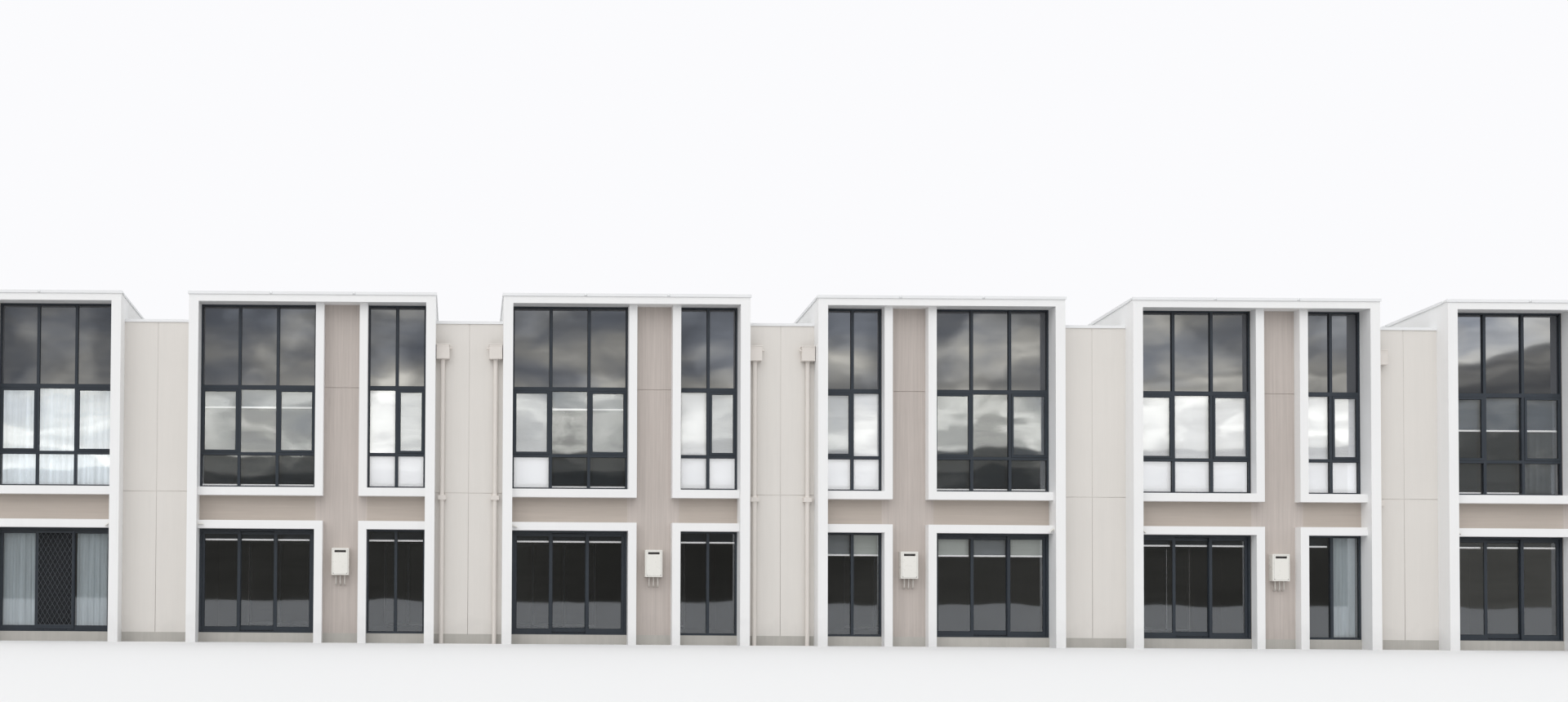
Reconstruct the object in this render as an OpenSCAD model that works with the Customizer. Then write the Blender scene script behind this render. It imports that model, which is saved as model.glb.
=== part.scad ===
// A row of terraced houses: white two-storey boxes that stand forward of lower infill bays.
// X runs along the row, the fronts face -Y, and Z = 0 is the ground. All sizes are in millimetres.

/* [Plan] */
// Front wall face to rear wall face
depth = 9600; // [7000:100:12000]
// Width of the recessed bay between two boxes
infill_w = 1400; // [1100:50:2400]
// Thickness of the front, rear and end walls
wall_t = 250; // [240:5:320]
// Thickness of the walls between the houses
party_t = 250; // [150:10:350]
// Width of the wide window and of the doorway under it
wide_w = 2410; // [2100:10:3000]
// Width of the narrow window
narrow_w = 1210; // [900:10:1600]
// Width of the taupe pier between the two window columns
pier_w = 740; // [500:10:1200]

/* [White frame] */
// Width of the outer fins, and thickness of the box side walls
fin_w = 200; // [150:10:300]
// How far the boxes stand forward of the front wall
box_proj = 470; // [380:10:700]
// Height of the band over the upper windows
band_h = 160; // [140:10:300]
// Thickness of the front parapet
parapet_t = 200; // [120:10:300]
// Thickness of the soffit board behind the band
soffit_t = 30; // [15:5:40]
// Face width of the inner surrounds
surround_w = 170; // [100:10:220]
// How far the inner surrounds stand forward of the front wall
surround_proj = 280; // [150:10:350]

/* [Levels] */
// Height of the ground slab
slab_h = 200; // [100:10:400]
// Height of the ground openings over the floor
ground_head = 2160; // [2000:10:2300]
// Clear height of the ground storey
ground_clear = 2420; // [2350:10:3000]
// Thickness of the first floors
floor_t = 300; // [150:10:400]
// Height of the upper sill over the first floor
sill_up = 300; // [200:10:500]
// Clear height of the upper storey
upper_clear = 2400; // [2300:10:2800]
// Thickness of the upper ceiling
ceiling_t = 100; // [50:10:150]
// Height of the dark top glass, from the ceiling to the window head
top_light_h = 1730; // [1300:10:2000]
// Height of the lower panes of the upper windows
lower_pane_h = 710; // [500:10:900]
// How far the infill walls stay below the top of the boxes
infill_drop = 525; // [350:5:700]

/* [Roofs] */
// Fall of the box roofs to the rear, in degrees
box_slope = 3.5; // [2:0.5:4.5]
// Fall of the infill roofs to the front, in degrees
infill_slope = 1.5; // [0.5:0.25:1.5]
// Depth of the box roof below the tops of its side walls
roof_drop = 60; // [55:5:80]
// Thickness of the roof sheets
sheet_t = 20; // [10:2:24]
// Height of the roof ribs
rib_h = 25; // [15:5:35]
// Spacing of the roof ribs
rib_pitch = 235; // [180:5:400]
// Gap under and beside the sloping sheets and caps
seat = 0.3; // [0.2:0.1:0.6]
// Height of the metal caps
cap_h = 45; // [20:5:60]
// Overhang of the metal caps
cap_over = 22; // [10:2:40]
// Depth of the drip edge of the caps
cap_lip = 14; // [6:2:30]
// Depth of the box gutter behind an infill wall
gutter_w = 300; // [200:10:400]
// Height of the box gutter
gutter_h = 160; // [100:10:200]
// Thickness of the gutter walls
gutter_t = 12; // [6:2:20]
// Top of the box gutter below the top of the infill wall
gutter_drop = 375; // [360:5:420]

/* [Rainwater] */
// Width of a rain head
head_w = 270; // [200:10:320]
// Height of a rain head
head_h = 310; // [200:10:400]
// Depth of a rain head from the wall
head_d = 200; // [150:10:260]
// Gap between a rain head and the box beside it
head_gap = 15; // [5:5:60]
// Outer diameter of the downpipes
pipe_d = 90; // [65:5:120]
// Wall thickness of the pipes and rain heads
pipe_t = 5; // [3:1:8]
// Distance of the pipe centre from the wall
pipe_out = 75; // [70:5:100]
// Outer diameter of the overflow spout of a rain head
spout_d = 50; // [40:2:70]
// Height of the overflow spout over the bottom of its rain head
spout_up = 223; // [150:1:240]
// Width of the pipe collars
collar_w = 170; // [140:10:200]
// Height of the pipe collars
collar_h = 90; // [60:10:140]
// Thickness of a pipe collar in front of its pipe
collar_t = 18; // [10:1:30]
// Width of an ear of a collar
ear_w = 22; // [16:1:30]
// Height of an ear over its collar
ear_h = 34; // [20:1:50]
// Distance that an ear reaches from the wall
ear_d = 30; // [20:1:40]

/* [Window frames] */
// Face width of the frame round a window
frame_w = 38; // [25:1:60]
// Face width of the mullions
mullion_w = 58; // [40:1:90]
// Height of the transom at the ceiling
transom_h = 85; // [60:1:120]
// Height of the transom over the lower panes
low_transom_h = 60; // [40:1:90]
// Depth of the window frames
frame_d = 100; // [60:5:110]
// Setback of the window frames behind the wall face
frame_in = 20; // [5:5:30]
// Face width of an opening sash
sash_w = 45; // [30:1:60]
// Depth of an opening sash
sash_d = 60; // [40:5:60]
// How far an opening sash stands proud of its frame
sash_out = 12; // [5:1:14]
// Thickness of the glass
glass_t = 10; // [6:1:16]

/* [Sliding doors] */
// Face width of the door frame
door_frame_w = 50; // [40:1:80]
// Depth of the door frame
door_frame_d = 150; // [145:5:160]
// Setback of the door frame behind the wall face
door_in = 30; // [20:5:30]
// Height of the door sill under its rails
sill_h = 28; // [20:2:40]
// Height of the rail that a door runs on
rail_h = 12; // [10:1:18]
// Width of the rail that a door runs on
rail_w = 6; // [4:1:8]
// Thickness of a door leaf
leaf_t = 38; // [34:1:40]
// Width of the stiles of a door leaf
stile_w = 62; // [45:1:80]
// Height of the bottom rail of a door leaf
kick_h = 90; // [60:5:140]
// Overlap of two neighbouring leaves
leaf_lap = 50; // [40:1:60]
// Clearance round a moving leaf
leaf_gap = 8; // [6:1:10]
// Clearance between a roller and its rail
roller_gap = 0.3; // [0.2:0.1:0.6]
// Diameter of a door roller
roller_d = 26; // [22:1:30]
// Thickness of the screen door
screen_t = 22; // [16:1:24]
// Width of the stiles of the screen door
screen_stile_w = 48; // [35:1:60]
// Width of a bar of the screen mesh
mesh_bar = 6; // [4:1:10]
// Width of a diamond of the screen mesh
diamond_w = 100; // [80:1:140]
// Height of a diamond of the screen mesh
diamond_h = 175; // [140:1:240]
// Thickness of the screen mesh
mesh_t = 6; // [4:1:10]

/* [Corner lights] */
// Length of the light over a sliding door
light_l = 95; // [70:5:120]
// Width of a light
light_w = 42; // [30:2:60]
// Height of a light
light_h = 22; // [16:1:30]
// Side of the square plate that holds a light
light_base = 56; // [44:2:70]
// Thickness of the plate
light_plate = 10; // [6:1:14]
// Length of the arm between plate and light
light_arm = 30; // [26:1:40]
// Height of the middle of the plate over the head of the door
light_up = 90; // [60:2:120]

/* [Behind the glass] */
// Thickness of a blind
blind_t = 16; // [8:1:16]
// Distance of a blind behind its frame
blind_gap = 12; // [8:1:14]
// Height of blinds and curtains over a sill or floor
cloth_up = 45; // [5:5:60]
// Depth of the folds of a curtain
curtain_d = 50; // [30:5:50]
// Drop of the short ground floor blinds
short_drop = 240; // [100:10:400]
// Drop of the longer ground floor blinds
long_drop = 480; // [300:10:900]
// Drop of the half-raised upper blinds
part_drop = 430; // [200:10:600]
// Drop of the upper blinds that hang below the middle of their panes
deep_drop = 750; // [620:10:1200]

/* [Water heater] */
// Width of a water heater
heater_w = 360; // [300:10:450]
// Height of a water heater
heater_h = 560; // [450:10:700]
// Depth of a water heater
heater_d = 200; // [150:10:240]
// Height of the underside of a water heater over the floor
heater_up = 1210; // [900:10:1500]
// Chamfer of the front edges of a water heater
heater_chamfer = 14; // [6:1:24]
// Height of the flue slot of a water heater
flue_h = 46; // [30:2:60]

/* [Joints in the render] */
// Width of the open joints in the rendered walls
joint_w = 12; // [6:1:20]
// Depth of the open joints in the rendered walls
joint_d = 12; // [6:1:20]

/* [Rear] */
// Depth of the rear gutters
rear_gutter_w = 130; // [100:5:160]
// Height of the rear gutters
rear_gutter_h = 110; // [80:5:140]
// Overhang of the box roofs into the rear gutters
eaves = 50; // [30:5:70]
// Gap between the roof sheets and the rear gutters
gutter_gap = 5; // [3:1:15]

/* [Hidden] */

// Each house in turn from the left: 1 where its wide window is on the left.
wide_left = [0, 1, 1, 0, 1, 1];
houses = len(wide_left);
// Rain heads beside the left and right box of each infill bay, from the left end of the row.
bay_heads = [[0, 1], [0, 0], [1, 1], [1, 1], [0, 0], [1, 0], [1, 0]];

pier_gap = pier_w + 2 * surround_w;
box_w = 2 * fin_w + wide_w + pier_gap + narrow_w;
house_w = box_w + infill_w;
row_w = houses * house_w;

y_wall = -depth / 2;
y_box = y_wall - box_proj;
y_in = y_wall + wall_t;
y_rear = depth / 2;
y_rear_in = y_rear - wall_t;

floor0 = slab_h;
head0 = floor0 + ground_head;
floor1_under = floor0 + ground_clear;
floor1 = floor1_under + floor_t;
sill1 = floor1 + sill_up;
ceiling1 = floor1 + upper_clear;
head1 = ceiling1 + top_light_h;
box_top = head1 + band_h;
infill_top = box_top - infill_drop;
low_transom_z = sill1 + lower_pane_h;

// Openings of a house whose wide window is on the left, measured from the middle of the house.
x_wide0 = -box_w / 2 + fin_w;
x_wide1 = x_wide0 + wide_w;
x_narrow0 = x_wide1 + pier_gap;
x_narrow1 = x_narrow0 + narrow_w;

white = [0.93, 0.93, 0.92];
beige = [0.87, 0.85, 0.82];
taupe = [0.69, 0.65, 0.62];
charcoal = [0.19, 0.22, 0.25];

function house_x(i) = (i - (houses - 1) / 2) * house_w;
function room_x0(i) = i == 0 ? -row_w / 2 + wall_t : house_x(i) - (house_w - party_t) / 2;
function room_x1(i) = i == houses - 1 ? row_w / 2 - wall_t : house_x(i) + (house_w - party_t) / 2;
function bay_x0(k) = k == 0 ? -row_w / 2 : house_x(k - 1) + box_w / 2;
function bay_x1(k) = k == houses ? row_w / 2 : house_x(k) - box_w / 2;
// Height of the side walls of a box, which fall to the rear.
function side_z(y) = box_top - (y - y_box) * tan(box_slope);
// Height of the pans of a box roof.
function box_roof_z(y) = side_z(y) - roof_drop;
// Height of the underside of an infill roof, which rises to the rear.
y_gutter = y_in + gutter_w;
gutter_z = infill_top - gutter_drop;
function infill_under(y) = gutter_z + (y - y_gutter) * tan(infill_slope);

module block(x0, x1, y0, y1, z0, z1) {
    translate([x0, y0, z0]) cube([x1 - x0, y1 - y0, z1 - z0]);
}

// A profile of Y and Z carried along X.
module along_x(x0, x1) {
    translate([x0, 0, 0]) rotate([90, 0, 90]) linear_extrude(x1 - x0) children();
}

// A profile of X and Z carried along Y.
module along_y(y0, y1) {
    translate([0, y1, 0]) rotate([90, 0, 0]) linear_extrude(y1 - y0) children();
}

// Draws in one house what is written for a house with its wide window on the left.
module in_house(i) {
    translate([house_x(i), 0, 0]) {
        if (wide_left[i] == 1) children();
        else mirror([1, 0, 0]) children();
    }
}

module each_house() {
    for (i = [0 : houses - 1]) in_house(i) children();
}

// A cap over a wall from a0 to a1, whose top falls by the given amount. It has a drip edge at a0,
// and at a1 another one, or none where a roof or a cap goes on behind it.
module cap_profile(a0, a1, z, fall = 0, back = true) {
    back_z = z - fall + cap_h * 0.7;
    polygon(concat(
        [[a0 - cap_over, z + cap_h], [a0 - cap_over, z - cap_lip], [a0, z - cap_lip]],
        [[a0, z], [a1, z - fall]],
        back
            ? [[a1, z - fall - cap_lip], [a1 + cap_over, z - fall - cap_lip], [a1 + cap_over, back_z]]
            : [[a1, back_z]]
    ));
}

// A ribbed metal sheet from x0 to x1, with its pans at z = 0 and trapezoid ribs on top.
module ribbed_profile(x0, x1) {
    ribs = floor((x1 - x0 - rib_pitch / 2) / rib_pitch);
    first = (x0 + x1) / 2 - (ribs - 1) * rib_pitch / 2;
    rib = [[-rib_h, 0], [-rib_h / 2, rib_h], [rib_h / 2, rib_h], [rib_h, 0]];
    polygon(concat(
        [[x0, -sheet_t], [x0, 0]],
        [for (k = [0 : ribs - 1]) for (p = rib) [first + k * rib_pitch + p[0], p[1]]],
        [[x1, 0], [x1, -sheet_t]]
    ));
}

// Structure

module ground_slab() {
    color("silver") block(-row_w / 2, row_w / 2, y_wall, y_rear, 0, slab_h);
}

module first_floors() {
    color("tan")
        for (i = [0 : houses - 1]) block(room_x0(i), room_x1(i), y_in, y_rear_in, floor1_under, floor1);
}

module ceilings() {
    y_frame = y_wall + frame_in + frame_d;
    color("white")
        for (i = [0 : houses - 1]) {
            block(room_x0(i), room_x1(i), y_in, y_rear_in, ceiling1, ceiling1 + ceiling_t);
            in_house(i)
                for (x = [[x_wide0, x_wide1], [x_narrow0, x_narrow1]])
                    block(x[0], x[1], y_frame, y_in, ceiling1, ceiling1 + ceiling_t);
        }
}

module party_walls() {
    color("gainsboro")
        for (i = [1 : houses - 1])
            along_x(house_x(i) - (house_w + party_t) / 2, house_x(i) - (house_w - party_t) / 2)
                polygon([
                    [y_in, floor0], [y_rear_in, floor0], [y_rear_in, infill_under(y_rear_in) - seat],
                    [y_gutter, gutter_z - seat], [y_gutter, gutter_z - gutter_h], [y_in, gutter_z - gutter_h]
                ]);
}

// Their corners are cut down under the drip edges of the caps in front and behind.
module end_walls() {
    cut_z = infill_top - cap_lip;
    color(beige)
        for (x = [-row_w / 2, row_w / 2 - wall_t])
            along_x(x, x + wall_t)
                polygon([
                    [y_in, floor0], [y_rear_in, floor0], [y_rear_in, cut_z], [y_rear_in - cap_over, cut_z],
                    [y_rear_in - cap_over, infill_top], [y_in + cap_over, infill_top],
                    [y_in + cap_over, cut_z], [y_in, cut_z]
                ]);
}

module end_caps() {
    color("whitesmoke")
        for (x = [-row_w / 2, row_w / 2 - wall_t])
            along_y(y_in + cap_over, y_rear_in - cap_over) cap_profile(x, x + wall_t, infill_top);
}

// White boxes

module box_fins() {
    color(white)
        for (i = [0 : houses - 1])
            for (x = [-box_w / 2, box_w / 2 - fin_w])
                translate([house_x(i), 0, 0])
                    along_x(x, x + fin_w)
                        polygon([
                            [y_box, 0], [y_wall, 0], [y_wall, floor0],
                            [y_in, floor0], [y_in, head1], [y_box, head1]
                        ]);
}

module box_top_bands() {
    y_back = y_box + parapet_t;
    color(white)
        each_house()
            along_x(-box_w / 2, box_w / 2)
                polygon([
                    [y_box, head1], [y_in, head1], [y_in, head1 + soffit_t],
                    [y_back, head1 + soffit_t], [y_back, side_z(y_back)], [y_box, box_top]
                ]);
}

module box_front_caps() {
    y_back = y_box + parapet_t;
    color("whitesmoke")
        each_house()
            along_x(-box_w / 2 - cap_over, box_w / 2 + cap_over)
                cap_profile(y_box, y_back, box_top, box_top - side_z(y_back), back = false);
}

module box_side_walls() {
    y_back = y_box + parapet_t;
    color(white)
        for (i = [0 : houses - 1])
            for (x = [-box_w / 2, box_w / 2 - fin_w])
                translate([house_x(i), 0, 0])
                    along_x(x, x + fin_w)
                        polygon([
                            [y_back, head1 + soffit_t], [y_in, head1 + soffit_t],
                            [y_in, ceiling1 + ceiling_t], [y_rear_in, ceiling1 + ceiling_t],
                            [y_rear_in, side_z(y_rear_in)], [y_back, side_z(y_back)]
                        ]);
}

module box_side_caps() {
    run0 = parapet_t / cos(box_slope) + cap_lip * tan(box_slope) + seat;
    run1 = (y_rear_in - cap_over - y_box) / cos(box_slope) - cap_h * tan(box_slope) - seat;
    color("whitesmoke")
        for (i = [0 : houses - 1])
            for (x = [-box_w / 2, box_w / 2 - fin_w])
                translate([house_x(i), y_box, box_top])
                    rotate([-box_slope, 0, 0])
                        along_y(run0, run1) cap_profile(x - seat, x + fin_w + seat, seat);
}

module box_roofs() {
    run0 = parapet_t / cos(box_slope) + rib_h * tan(box_slope);
    run1 = (y_rear + eaves - y_box) / cos(box_slope);
    color("lightgray")
        for (i = [0 : houses - 1])
            translate([house_x(i), y_box, box_top - roof_drop])
                rotate([-box_slope, 0, 0])
                    along_y(run0, run1)
                        ribbed_profile(-box_w / 2 + fin_w + seat, box_w / 2 - fin_w - seat);
}

// Between the fins

module front_piers() {
    color(taupe)
        each_house()
            difference() {
                block(x_wide1, x_narrow0, y_wall, y_in, floor0, head1);
                block(x_wide1 + surround_w, x_narrow0 - surround_w, y_wall - 1, y_wall + joint_d,
                      ceiling1 - joint_w / 2, ceiling1 + joint_w / 2);
            }
}

module front_spandrels() {
    color(taupe)
        each_house()
            for (x = [[x_wide0, x_wide1], [x_narrow0, x_narrow1]])
                block(x[0], x[1], y_wall, y_in, head0, sill1);
}

module surround_fins() {
    color(white)
        each_house()
            for (x = [x_wide1, x_narrow0 - surround_w])
                for (z = [[0, head0 + surround_w], [sill1 - surround_w, head1]])
                    block(x, x + surround_w, y_wall - surround_proj, y_wall, z[0], z[1]);
}

module surround_bands() {
    color(white)
        each_house()
            for (x = [[x_wide0, x_wide1], [x_narrow0, x_narrow1]])
                for (z = [head0, sill1 - surround_w])
                    block(x[0], x[1], y_wall - surround_proj, y_wall, z, z + surround_w);
}

// Infill bays

module infill_walls() {
    joint_z = sill1 - surround_w / 2;
    color(beige)
        for (k = [0 : houses])
            difference() {
                block(bay_x0(k), bay_x1(k), y_wall, y_in, floor0, infill_top);
                block(bay_x0(k) - 1, bay_x1(k) + 1, y_wall - 1, y_wall + joint_d,
                      joint_z - joint_w / 2, joint_z + joint_w / 2);
                if (k > 0 && k < houses)
                    block((bay_x0(k) + bay_x1(k) - joint_w) / 2, (bay_x0(k) + bay_x1(k) + joint_w) / 2,
                          y_wall - 1, y_wall + joint_d, floor0 - 1, infill_top + 1);
            }
}

module infill_caps() {
    color("whitesmoke")
        for (k = [0 : houses]) {
            x0 = bay_x0(k) - (k == 0 ? cap_over : 0);
            x1 = bay_x1(k) + (k == houses ? cap_over : 0);
            along_x(x0, x1) cap_profile(y_wall, y_in, infill_top);
            along_x(x0 - (k == 0 ? 0 : fin_w), x1 + (k == houses ? 0 : fin_w))
                cap_profile(y_rear_in, y_rear, infill_top);
        }
}

module infill_roofs() {
    over = gutter_w / 3;
    run = (y_rear_in - y_gutter + over) / cos(infill_slope) - (sheet_t + rib_h) * tan(infill_slope);
    color("lightgray")
        for (k = [0 : houses]) {
            x0 = bay_x0(k) + (k == 0 ? wall_t : 0);
            x1 = bay_x1(k) - (k == houses ? wall_t : 0);
            translate([0, y_gutter - over, infill_under(y_gutter - over) + sheet_t / cos(infill_slope)])
                rotate([infill_slope, 0, 0])
                    along_y(0, run) ribbed_profile(x0 + seat, x1 - seat);
        }
}

module box_gutters() {
    z0 = gutter_z - gutter_h;
    rim = gutter_z - 2 * gutter_t;
    color("lightgray")
        for (k = [0 : houses]) {
            x0 = bay_x0(k) + (k == 0 ? wall_t : 0);
            x1 = bay_x1(k) - (k == houses ? wall_t : 0);
            along_x(x0, x1)
                polygon([
                    [y_in, z0], [y_gutter, z0], [y_gutter, rim], [y_gutter - gutter_t, rim],
                    [y_gutter - gutter_t, z0 + gutter_t], [y_in + gutter_t, z0 + gutter_t],
                    [y_in + gutter_t, gutter_z], [y_in, gutter_z]
                ]);
        }
}

// Rainwater

rain_x = head_gap + head_w / 2;
head_z0 = gutter_z - gutter_h / 2 - head_h;
collar_z = sill1 - surround_w - collar_h * 2 / 3;

// Draws at each rain head what is written for one at x = 0; side is 1 where its box is on the right.
module each_rain_head() {
    for (k = [0 : houses]) {
        if (bay_heads[k][0] == 1) translate([bay_x0(k) + rain_x, 0, 0]) children();
        if (bay_heads[k][1] == 1) translate([bay_x1(k) - rain_x, 0, 0]) mirror([1, 0, 0]) children();
    }
}

module rain_heads() {
    spout_z = head_z0 + spout_up;
    color(beige)
        each_rain_head()
            difference() {
                union() {
                    block(-head_w / 2, head_w / 2, y_wall - head_d, y_wall, head_z0, head_z0 + head_h);
                    translate([0, y_wall - head_d / 2, spout_z]) rotate([0, 90, 0])
                        cylinder(d = spout_d, h = head_w / 2 + spout_d, $fn = 32);
                }
                block(-head_w / 2 + pipe_t, head_w / 2 - pipe_t,
                      y_wall - head_d + pipe_t, y_wall - pipe_t,
                      head_z0 + pipe_t, head_z0 + head_h + 1);
                translate([0, y_wall - head_d / 2, spout_z]) rotate([0, 90, 0])
                    cylinder(d = spout_d - 2 * pipe_t, h = head_w / 2 + spout_d + 1, $fn = 32);
                translate([0, y_wall - pipe_out, head_z0 - 1])
                    cylinder(d = pipe_d - 2 * pipe_t, h = pipe_t + 2, $fn = 32);
            }
}

module pipe(z0, z1) {
    translate([0, 0, z0])
        difference() {
            cylinder(d = pipe_d, h = z1 - z0, $fn = 32);
            translate([0, 0, -1]) cylinder(d = pipe_d - 2 * pipe_t, h = z1 - z0 + 2, $fn = 32);
        }
}

module downpipes() {
    color(beige) each_rain_head() translate([0, y_wall - pipe_out, 0]) pipe(0, head_z0);
}

module pipe_collars() {
    y0 = y_wall - pipe_out - pipe_d / 2 - collar_t;
    top = collar_z + collar_h;
    color(beige)
        each_rain_head()
            difference() {
                union() {
                    block(-collar_w / 2, collar_w / 2, y0, y_wall, collar_z, top);
                    for (x = [-collar_w / 2, collar_w / 2 - ear_w])
                        block(x, x + ear_w, y_wall - ear_d, y_wall, top - 1, top + ear_h);
                }
                translate([0, y_wall - pipe_out, collar_z - 1])
                    cylinder(d = pipe_d, h = collar_h + 2, $fn = 32);
            }
}

// Windows. The panes of a window are listed as [x0, x1, z0, z1], column by column.

function pane_w(w, cols) = (w - 2 * frame_w - (cols - 1) * mullion_w) / cols;
function panes(x, w, cols, rows) = [
    for (c = [0 : cols - 1])
        for (r = rows)
            let (x0 = x + frame_w + c * (pane_w(w, cols) + mullion_w))
                [x0, x0 + pane_w(w, cols), r[0], r[1]]
];

low_row = [sill1 + frame_w, low_transom_z - low_transom_h / 2];
mid_row = [low_transom_z + low_transom_h / 2, ceiling1 - transom_h / 2];
top_row = [ceiling1 + transom_h / 2, head1 - frame_w];
ground_row = [floor0 + frame_w, head0 - frame_w];
rear_mid_row = [low_transom_z + low_transom_h / 2, ceiling1 - frame_w];

y_frame = y_wall + frame_in;
y_glass = y_frame + frame_d / 2;
y_rear_frame = y_rear - frame_in - frame_d;

// A frame that fills an opening, with its panes cut out.
module window_frame(x, w, cols, rows, z0, z1, y) {
    difference() {
        block(x, x + w, y, y + frame_d, z0, z1);
        for (p = panes(x, w, cols, rows)) block(p[0], p[1], y - 1, y + frame_d + 1, p[2], p[3]);
    }
}

module glass_panes(list, y) {
    for (p = list) block(p[0], p[1], y, y + glass_t, p[2], p[3]);
}

module upper_frames() {
    rows = [low_row, mid_row, top_row];
    color(charcoal)
        each_house() {
            window_frame(x_wide0, wide_w, 3, rows, sill1, head1, y_frame);
            window_frame(x_narrow0, narrow_w, 2, rows, sill1, head1, y_frame);
        }
}

// The outer columns of the wide window and the outer column of the narrow one open as awnings.
sash_openings = [
    panes(x_wide0, wide_w, 3, [mid_row])[0],
    panes(x_wide0, wide_w, 3, [mid_row])[2],
    panes(x_narrow0, narrow_w, 2, [mid_row])[1]
];

module awning_sashes() {
    color(charcoal)
        each_house()
            for (p = sash_openings)
                difference() {
                    block(p[0], p[1], y_frame - sash_out, y_frame - sash_out + sash_d, p[2], p[3]);
                    block(p[0] + sash_w, p[1] - sash_w, y_frame - sash_out - 1, y_frame + sash_d,
                          p[2] + sash_w, p[3] - sash_w);
                }
}

module spandrel_glass() {
    color("dimgray")
        each_house() {
            glass_panes(panes(x_wide0, wide_w, 3, [top_row]), y_glass);
            glass_panes(panes(x_narrow0, narrow_w, 2, [top_row]), y_glass);
        }
}

module upper_glass() {
    wide = panes(x_wide0, wide_w, 3, [low_row, mid_row]);
    narrow = panes(x_narrow0, narrow_w, 2, [low_row, mid_row]);
    in_sashes = [for (p = sash_openings) [p[0] + sash_w, p[1] - sash_w, p[2] + sash_w, p[3] - sash_w]];
    color("lightsteelblue")
        each_house() {
            glass_panes([wide[0], wide[2], wide[3], wide[4], narrow[0], narrow[1], narrow[2]], y_glass);
            glass_panes(in_sashes, y_frame - sash_out + (sash_d - glass_t) / 2);
        }
}

module ground_frames() {
    color(charcoal)
        each_house() window_frame(x_narrow0, narrow_w, 2, [ground_row], floor0, head0, y_frame);
}

// Downward tilt of the light of each house, in degrees.
light_tilts = [38, 0, 20, 48, 42, 30];

// A light sits on a plate on the fin, in front of the band over the sliding door.
module corner_lights() {
    half = light_base / 2;
    arm_t = light_h * 0.6;
    y = y_wall - surround_proj - half - blind_gap;
    color("whitesmoke")
        for (i = [0 : houses - 1])
            in_house(i)
                translate([x_wide0, y, head0 + light_up])
                    union() {
                        block(0, light_plate, -half, half, -half, half);
                        block(light_plate - 1, light_arm, -arm_t / 2, arm_t / 2, -arm_t / 2, arm_t / 2);
                        translate([light_arm, 0, 0])
                            rotate([0, light_tilts[i], 0])
                                block(-arm_t / 2, light_l, -light_w / 2, light_w / 2,
                                      -light_h / 2, light_h / 2);
                    }
}

// Sliding doors. Three lanes lie behind each other: screen, fixed leaves, moving leaf.

door_y = y_wall + door_in;
door_x0 = x_wide0 + door_frame_w;
door_x1 = x_wide1 - door_frame_w;
leaf_w = (door_x1 - door_x0 + 2 * leaf_lap) / 3;
leaf_x = door_x0 + leaf_w - leaf_lap;
lane_screen = door_y + leaf_gap;
lane_fixed = lane_screen + screen_t + leaf_gap;
lane_moving = lane_fixed + leaf_t + leaf_gap;
door_z0 = floor0 + sill_h;
door_z1 = head0 - door_frame_w;

// The head and the sill lie between the jambs, and the sill carries a rail under each moving lane.
module door_jambs() {
    color(charcoal)
        each_house()
            for (x = [x_wide0, door_x1])
                block(x, x + door_frame_w, door_y, door_y + door_frame_d, floor0, head0);
}

module door_heads() {
    color(charcoal) each_house() block(door_x0, door_x1, door_y, door_y + door_frame_d, door_z1, head0);
}

module sill_rail(y, t) {
    block(door_x0, door_x1, y + (t - rail_w) / 2, y + (t + rail_w) / 2, door_z0 - 1, door_z0 + rail_h);
}

module door_sills() {
    color(charcoal)
        for (i = [0 : houses - 1])
            in_house(i)
                union() {
                    block(door_x0, door_x1, door_y, door_y + door_frame_d, floor0, door_z0);
                    sill_rail(lane_moving, leaf_t);
                    if (i == 0) sill_rail(lane_screen, screen_t);
                }
}

// A leaf is a ring of two stiles, a top rail and a taller bottom rail.
module leaf_ring(x, w, y, t, stile, kick, z0, z1) {
    difference() {
        block(x, x + w, y, y + t, z0, z1);
        block(x + stile, x + w - stile, y - 1, y + t + 1, z0 + kick, z1 - stile);
    }
}

module fixed_leaves() {
    color(charcoal)
        each_house()
            for (x = [door_x0, door_x1 - leaf_w])
                leaf_ring(x, leaf_w, lane_fixed, leaf_t, stile_w, kick_h, door_z0, door_z1);
}

module leaf_glass(x, w, y, t, z0, z1) {
    y0 = y + (t - glass_t) / 2;
    block(x + stile_w, x + w - stile_w, y0, y0 + glass_t, z0 + kick_h, z1 - stile_w);
}

module ground_glass() {
    color("lightsteelblue")
        each_house() {
            glass_panes(panes(x_narrow0, narrow_w, 2, [ground_row]), y_glass);
            for (x = [door_x0, door_x1 - leaf_w])
                leaf_glass(x, leaf_w, lane_fixed, leaf_t, door_z0, door_z1);
        }
}

moving_z0 = door_z0 + rail_h + leaf_gap;
moving_z1 = door_z1 - leaf_gap;

// Two rollers under the bottom rail run on the rail of the sill.
module rollers(x, w, y, t) {
    for (rx = [x + w / 5, x + w * 4 / 5])
        translate([rx, y + t / 4, door_z0 + rail_h + roller_gap + roller_d / 2])
            rotate([-90, 0, 0]) cylinder(d = roller_d, h = t / 2, $fn = 24);
}

module door_leaf(i) {
    color(charcoal)
        in_house(i)
            union() {
                leaf_ring(leaf_x, leaf_w, lane_moving, leaf_t, stile_w, kick_h, moving_z0, moving_z1);
                rollers(leaf_x, leaf_w, lane_moving, leaf_t);
            }
}

module door_glass(i) {
    color("lightsteelblue")
        in_house(i) leaf_glass(leaf_x, leaf_w, lane_moving, leaf_t, moving_z0, moving_z1);
}

module screen_door() {
    color(charcoal)
        in_house(0)
            union() {
                leaf_ring(leaf_x, leaf_w, lane_screen, screen_t, screen_stile_w, kick_h,
                          moving_z0, moving_z1);
                rollers(leaf_x, leaf_w, lane_screen, screen_t);
            }
}

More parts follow.
